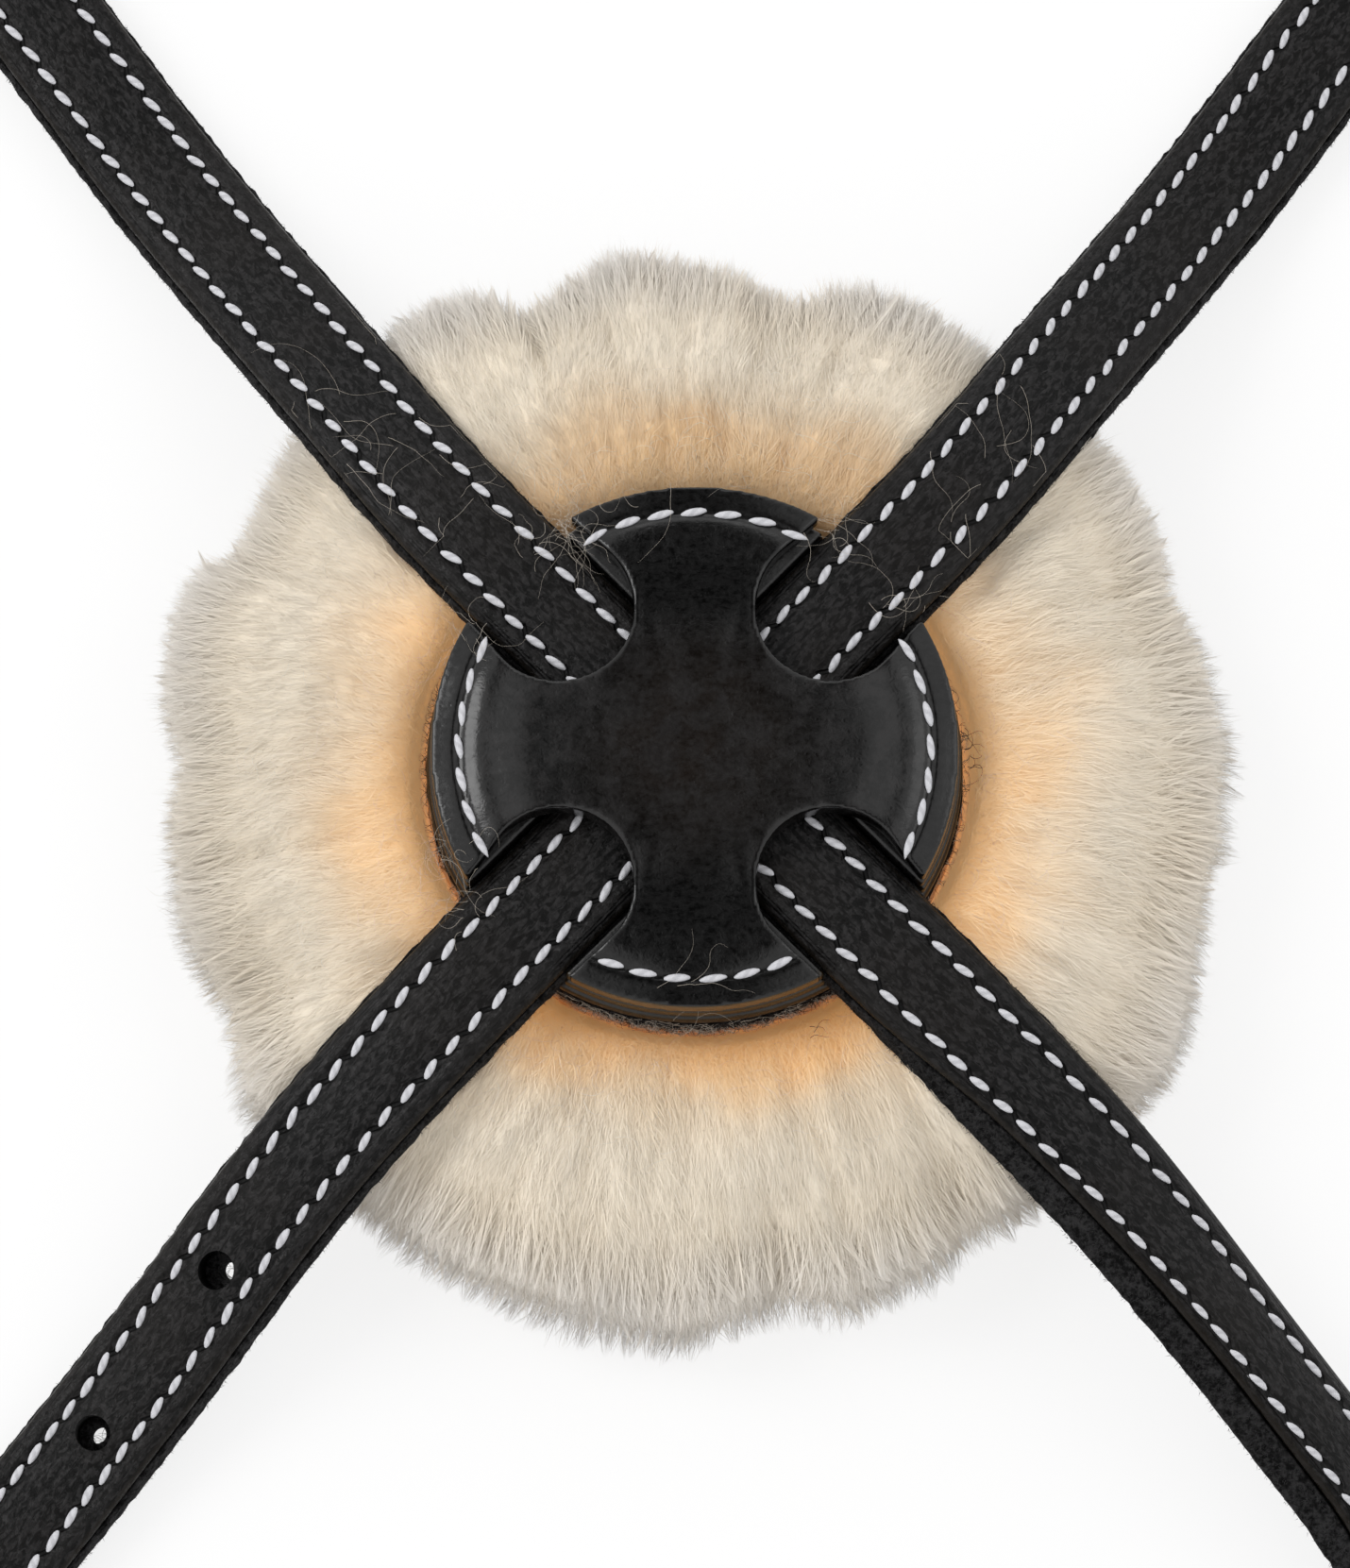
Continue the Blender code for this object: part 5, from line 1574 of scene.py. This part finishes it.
def rim_tufts(lines, count):
    """Pointed tufts that stand out round the fleece's rim, about one to each millimetre."""
    turns, storeys = 540, 2
    tufts = turns * storeys
    angle = draws.random(count) * math.tau
    across = draws.uniform(0.54, 0.82, count)
    # Fibres of one stretch of the rim and one height meet at one tip
    ends = (np.arange(turns) + draws.uniform(-0.42, 0.42, turns)) * math.tau / turns
    height = np.clip(((across - 0.54) / 0.28 * storeys).astype(int), 0, storeys - 1)
    tuft = np.searchsorted(ends, angle) % turns * storeys + height
    roots = wool_surface(angle, across)
    beside = wool_surface(angle + 0.01, across)
    swing = field(roots, 160.0, 6.0) * 0.7 + draws.normal(0.0, 0.20, tufts)[tuft]
    way = swung(radial_ways(angle), round_ways(angle), swing)
    way[:, 2] += draws.normal(0.0, 0.10, tufts)[tuft]
    spread = draws.random(tufts)[tuft] ** 0.8
    edge = fleece_outline(angle) - 0.0012 + spread * 0.0020
    left_over = edge - np.hypot(roots[:, 0], roots[:, 1])
    reach = np.clip(left_over / np.cos(swing), 0.0008, 0.0050)
    tips = roots + way * reach[:, None]
    tips += (group_tips(tips, tuft, tufts) - tips) * 0.95
    roots, tips = (held(places, lines) for places in (roots - way * 0.0008, tips))
    thick = draws.uniform(0.00004, 0.00008, count)
    lie = unit(np.cross(radial_ways(angle), beside - roots))
    lie[:, 2] = np.abs(lie[:, 2]) + 2.5
    rest = (thick, WOOL_STRANDS, "cream_fleece", unit(lie), draws.random(count))
    on_fleece(fibres("fleece_rim_tufts", [roots, tips], *rest))


def wool_frizz(lines, count):
    """Fine curly hairs that lie loose on the fleece, most of them beside the rosette."""
    out = 0.0300 + 0.0230 * draws.random(count) ** 1.5
    angle = draws.random(count) * math.tau
    place = radial_ways(angle)[:, :2] * out[:, None]
    heading = angle + draws.normal(0.0, 1.0, count)
    bend = draws.normal(0.0, 0.30, count)
    stride = draws.uniform(0.0025, 0.0080, count) / 11
    # The profile's rows as far as the rim, where it turns back
    knots = np.linspace(0.0, 1.0, len(WOOL_PROFILE))[:12]
    reaches = [r for r, _ in WOOL_PROFILE[:12]]
    lift = draws.uniform(0.00010, 0.00055, count)
    rows = []
    for step in range(12):
        far = np.hypot(place[:, 0], place[:, 1])
        turn = np.arctan2(place[:, 1], place[:, 0])
        laid = wool_surface(turn, np.interp(far, reaches, knots))
        laid[:, :2] = place
        laid[:, 2] += lift + 0.00025 * math.sin(step * 0.6)
        rows.append(held(laid, lines))
        bend = 0.8 * bend + draws.normal(0.0, 0.22, count)
        heading = heading + bend
        place = place + radial_ways(heading)[:, :2] * stride[:, None]
    on_fleece(thin_hairs("fleece_frizz", np.stack(rows, 1), 0.000028, FRIZZ))


def stray_hairs(routes):
    """Loose fleece hairs at the rosette's rim, on its cover, and on the upper arms."""
    pale, dark = [], []
    # Places where hairs have gathered: x, y, how many, the way that most of them lie
    tangles = (
        (-0.0136, 0.0246, 44, 25),
        (-0.0178, 0.0212, 8, 40),
        (-0.0252, 0.0130, 22, 235),
        (-0.0264, -0.0120, 24, 120),
        (-0.0246, -0.0172, 18, 200),
        (0.0135, 0.0250, 18, -35),
        (0.0225, 0.0166, 12, 60),
        (-0.0010, -0.0272, 6, 0),
    )
    for x, y, count, lie in tangles:
        for _ in range(count):
            place = (x + chance.gauss(0, 0.0013), y + chance.gauss(0, 0.0013))
            out = math.hypot(*place)
            height = 0.0270 if out < 0.0272 else chance.uniform(0.0205, 0.0262)
            angle = math.radians(lie + chance.gauss(0, 55))
            way = (math.cos(angle), math.sin(angle), 0.0)
            line = curl((*place, height), way, chance.uniform(0.0030, 0.0095), 0.19, 24, 0.1)
            pale.append([np.array((p[0], p[1], min(max(p[2], 0.0175), 0.0274))) for p in line])
    for x, y, angle, length in (
        (-0.0026, 0.0288, -75, 0.0100),
        (-0.0102, 0.0268, -95, 0.0042),
        (-0.0060, 0.0262, 200, 0.0040),
        (0.0060, 0.0282, 160, 0.0050),
        (-0.0040, -0.0266, 35, 0.0080),
    ):
        way = (math.cos(math.radians(angle)), math.sin(math.radians(angle)), 0.0)
        pale.append(curl((x, y, 0.0273), way, length, 0.13, 18, 0.02))
    for x, y, count in ((0.0289, 0.0026, 7), (0.0291, -0.0012, 5), (0.0124, -0.0300, 3)):
        for _ in range(count):
            start = (x + chance.gauss(0, 0.0005), y + chance.gauss(0, 0.0012), 0.0196)
            way = (1.0, chance.uniform(-1.2, 1.2), 0.2)
            dark.append(curl(start, way, chance.uniform(0.0015, 0.0035), 0.4, 12, 0.2))
    thin_hairs("loose_pale_hairs", pale, 0.000019, PALE_HAIR, "rosette")
    thin_hairs("loose_black_hairs", dark, 0.000045, BLACK_HAIR, "rosette")
    arms = (("left", routes[0], 20, 0.0355, 0.058), ("right", routes[1], 13, 0.0355, 0.056))
    for word, route, count, low, high in arms:
        path = Path(route, FACE_MIDDLE, INNER_END, route.end, None, RING_TURN)
        lines = []
        for _ in range(count):
            start = (chance.uniform(low, high), chance.uniform(-0.0058, 0.0058), 0.00135)
            angle = chance.uniform(0, math.tau)
            way = (math.cos(angle), math.sin(angle), 0.0)
            flat = np.array(curl(start, way, chance.uniform(0.004, 0.014), 0.10, 28, 0.0))
            # A hair lies on the face and turns down with its edge
            flat[:, 1] = np.clip(flat[:, 1], -0.0061, 0.0061)
            side = np.abs(flat[:, 1])
            flat[:, 2] = 0.00136 - 0.0006 * smooth_share(side, 0.0030, 0.0062)
            flat[:, 0] = np.clip(flat[:, 0], 0.0352, 0.12)
            lines.append(path.lay(flat))
        arm = "upper_%s_arm" % word
        thin_hairs("hairs_on_" + arm, lines, 0.000018, PALE_HAIR, arm)


def steel_wire(name, points, radius, closed):
    """A round wire through the points, made a mesh."""
    curve = bpy.data.curves.new(name, "CURVE")
    curve.dimensions = "3D"
    curve.bevel_depth = radius
    curve.bevel_resolution = 5
    curve.use_fill_caps = not closed
    piece = mesh_from(curve, [points], closed, name + "_steel")
    smooth_faces(piece, 60)
    dress(piece, STEEL, name, [name])


def cheek_ring(word, side):
    select_nothing()
    bpy.ops.mesh.primitive_torus_add(
        major_radius=RING_RADIUS,
        minor_radius=RING_WIRE,
        major_segments=128,
        minor_segments=28,
        location=ring_centre(side),
    )
    name = "cheek_ring_" + word
    ring = take(name + "_steel")
    apply_place(ring)
    smooth_faces(ring, 60)
    dress(ring, STEEL, name, [name])


def rounded_box(half_x, low_y, high_y, corner, count):
    """Points round a rectangle with rounded corners, anticlockwise from its right side's top."""
    points = []
    right, top, low = half_x - corner, high_y - corner, low_y + corner
    for quarter, (x, y) in enumerate(((right, top), (-right, top), (-right, low), (right, low))):
        for step in range(count + 1):
            angle = (quarter + step / count) * math.pi / 2
            points.append((x + corner * math.cos(angle), y + corner * math.sin(angle), 0.0))
    return points


def buckle(prefix, route):
    """Frame and tongue at a buckle strap's end."""
    ahead = route.heading(route.end)
    left = UP.cross(ahead)
    bar = route.place(route.end) + UP * BAR_LEVEL
    box = rounded_box(BUCKLE_HALF_WIDTH, -BUCKLE_REACH, BUCKLE_REACH, BUCKLE_CORNER, 10)
    # The two corners away from the bar, and the bar's own two ends
    flat = [(BUCKLE_HALF_WIDTH, 0.0, 0.0), *box[:22], (-BUCKLE_HALF_WIDTH, 0.0, 0.0)]
    points = [bar + left * x + ahead * y for x, y, _ in flat]
    steel_wire(prefix + "_buckle_frame", points, BUCKLE_WIRE, True)
    reach = BUCKLE_WIRE + LAYER_GAP + TONGUE_WIRE
    points = [bar + ahead * (BUCKLE_REACH + 0.0012) + UP * reach]
    for step in range(25):
        angle = math.pi / 2 + math.radians(280) * step / 24
        points.append(bar + ahead * reach * math.cos(angle) + UP * reach * math.sin(angle))
    steel_wire(prefix + "_buckle_tongue", points, TONGUE_WIRE, False)


def keeper(name, route, back, body):
    """A leather band round the strap, its edges rubbed round."""
    half, thickness, length, edge = STRAP_WIDTH / 2 + 0.0005, 0.0016, 0.0070, 0.0004
    low, high = -LAYER_GAP, 0.0050 + 0.0056
    outer = rounded_box(half + thickness, low - thickness, high + thickness, 0.0020, 8)
    inner = rounded_box(half, low, high, 0.0004, 3)
    curve = bpy.data.curves.new(name, "CURVE")
    curve.dimensions = "2D"
    curve.fill_mode = "BOTH"
    curve.extrude = length / 2 - edge
    curve.bevel_depth = edge
    curve.bevel_resolution = 2
    curve.offset = -edge
    piece = mesh_from(curve, [outer, inner], True, name + "_leather")
    at = route.end - back
    foot, ahead, up = (np.array(way) for way in (route.place(at), route.heading(at), UP))
    flat = points_of(piece.data)
    laid = foot - np.cross(up, ahead) * flat[:, 0:1] + up * flat[:, 1:2] - ahead * flat[:, 2:3]
    move_points(piece.data, laid)
    smooth_faces(piece, 50)
    dress(piece, KEEPER_LEATHER, body, [name])


def camera():
    """Looks at the rosette from above, 15 degrees from upright, as the photograph does."""
    scene = bpy.context.scene
    scene.view_settings.view_transform = "Standard"
    data = bpy.data.cameras.new("camera")
    data.lens = 199.4
    data.sensor_width = 36.0
    data.clip_start = 0.01
    data.clip_end = 10.0
    made = bpy.data.objects.new("camera", data)
    scene.collection.objects.link(made)
    scene.camera = made
    tilt, distance = math.radians(75), 0.92
    back = Vector((0.0, -math.cos(tilt), math.sin(tilt)))
    upward = Vector((0.0, math.sin(tilt), math.cos(tilt)))
    # The photograph's middle lies a little left of the rosette's and below it
    target = Vector((-0.0021, 0.0, 0.0265)) - upward * 0.00405
    made.rotation_euler = (math.pi / 2 - tilt, 0.0, 0.0)
    made.location = target + back * distance


def lamps():
    """Soft round lamps, the left one much the strongest."""
    for name, place, size, power in (
        ("left_light", (-0.75, 0.25, 0.80), 0.60, 4.0),
        ("right_light", (0.75, 0.25, 0.80), 0.60, 0.85),
        ("back_light", (0.0, 0.90, 0.60), 0.45, 0.55),
        ("front_light", (0.0, -0.80, 0.60), 0.45, 0.22),
    ):
        lamp = bpy.data.lights.new(name, "AREA")
        lamp.shape = "DISK"
        lamp.size = size
        lamp.energy = power
        made = bpy.data.objects.new(name, lamp)
        made.location = place
        made.rotation_euler = (-Vector(place)).to_track_quat("-Z", "Y").to_euler()
        bpy.context.scene.collection.objects.link(made)


def studio_world():
    """White walls, and a ceiling that is dark over the middle and bright to both sides."""
    world = bpy.data.worlds.new("studio")
    bpy.context.scene.world = world
    world.use_nodes = True
    nodes = Nodes(world.node_tree)
    across, _, height = nodes.parts(nodes.node("ShaderNodeTexCoord", output="Generated"))
    ceiling = nodes.band(height, 0.15, 0.55, curve="LINEAR")
    middle = nodes.band(abs(across), 0.02, 0.23, 0.985, 0.05)
    overhead = ceiling * middle * (1.0 - nodes.ray("Is Camera Ray"))
    tone = nodes.mix(overhead, (1.0, 1.0, 1.0), (0.01, 0.01, 0.01))
    nodes.feed(nodes.tree.nodes["Background"].inputs["Color"], tone)


def pale_floor():
    """A floor that shines white to the eye and still takes a soft shadow."""
    select_nothing()
    bpy.ops.mesh.primitive_plane_add(size=6.0, location=(0.0, 0.0, -0.0006))
    floor = take("floor")
    finish = Finish("pale_floor")
    finish.set(Base_Color=(0.95, 0.95, 0.95), Roughness=0.9, Specular_IOR_Level=0.1)
    glow = finish.node("ShaderNodeEmission", None, {"Strength": 1.0})
    seen = finish.ray("Is Camera Ray", "Is Glossy Ray", "Is Transmission Ray")
    plain = Wired(finish, finish.shader.outputs[0])
    mixed = finish.node("ShaderNodeMixShader", None, {0: seen * 0.78, 1: plain, 2: glow})
    finish.feed(finish.output.inputs["Surface"], mixed)
    floor.data.materials.append(finish.material)


def noseband():
    left, right, billet, clasp = upper_route(-1), upper_route(1), billet_route(), buckle_route()
    jaw_left, jaw_right = jaw_route(-1), jaw_route(1)
    chin_holes = [CHIN_FIRST_HOLE + k * HOLE_PITCH for k in range(HOLES)]
    jaw_holes = [JAW_BILLET_LENGTH - JAW_LAST_HOLE - k * HOLE_PITCH for k in range(HOLES)]
    over, under = ["cross_strap_over"], ["cross_strap_under"]
    strap("upper_left", left, "upper_left_arm", turn_out=RING_TURN, middle=over)
    strap("upper_right", right, "upper_right_arm", turn_out=RING_TURN, middle=under)
    strap("chin_billet", billet, "chin_billet_arm", pointed=True, holes=chin_holes)
    strap("chin_strap", clasp, "chin_buckle_arm", turn_out=BAR_TURN, bare=-1)
    strap("jaw_billet", jaw_left, "jaw_billet_strap", RING_TURN, pointed=True, holes=jaw_holes)
    strap("jaw_strap", jaw_right, "jaw_buckle_strap", RING_TURN, BAR_TURN)
    rosette_cover()
    cover_stitching()
    rosette_filling()
    for disc in (
        ("backing_leather", "rosette_backing", 0.02865, 0.0007, BACKING_LEATHER, "black_leather"),
        ("underlay_suede", "rosette_underlay", 0.0287, 0.0004, UNDERLAY_SUEDE, "black_suede", 0.0003),
        ("hide_rim", "sheepskin_hide", 0.0289, 0.0004, HIDE_LEATHER, "fleece_hide", 0.0004),
    ):
        rosette_disc(*disc)
    rim_fuzz()
    lines = strap_lines((left, right, billet, clasp))
    wool_body(lines)
    long_wool(lines, 62000)
    short_wool(lines, 97000)
    rim_tufts(lines, 26000)
    wool_frizz(lines, 1200)
    stray_hairs((left, right))
    for word, side in (("left", -1), ("right", 1)):
        cheek_ring(word, side)
    for prefix, route, arm in (
        ("chin", clasp, "chin_buckle_arm"),
        ("jaw", jaw_right, "jaw_buckle_strap"),
    ):
        buckle(prefix, route)
        keeper(prefix + "_fixed_keeper", route, 0.0310, arm)
        keeper(prefix + "_runner", route, 0.0440, prefix + "_runner")


camera()
lamps()
studio_world()
pale_floor()
noseband()
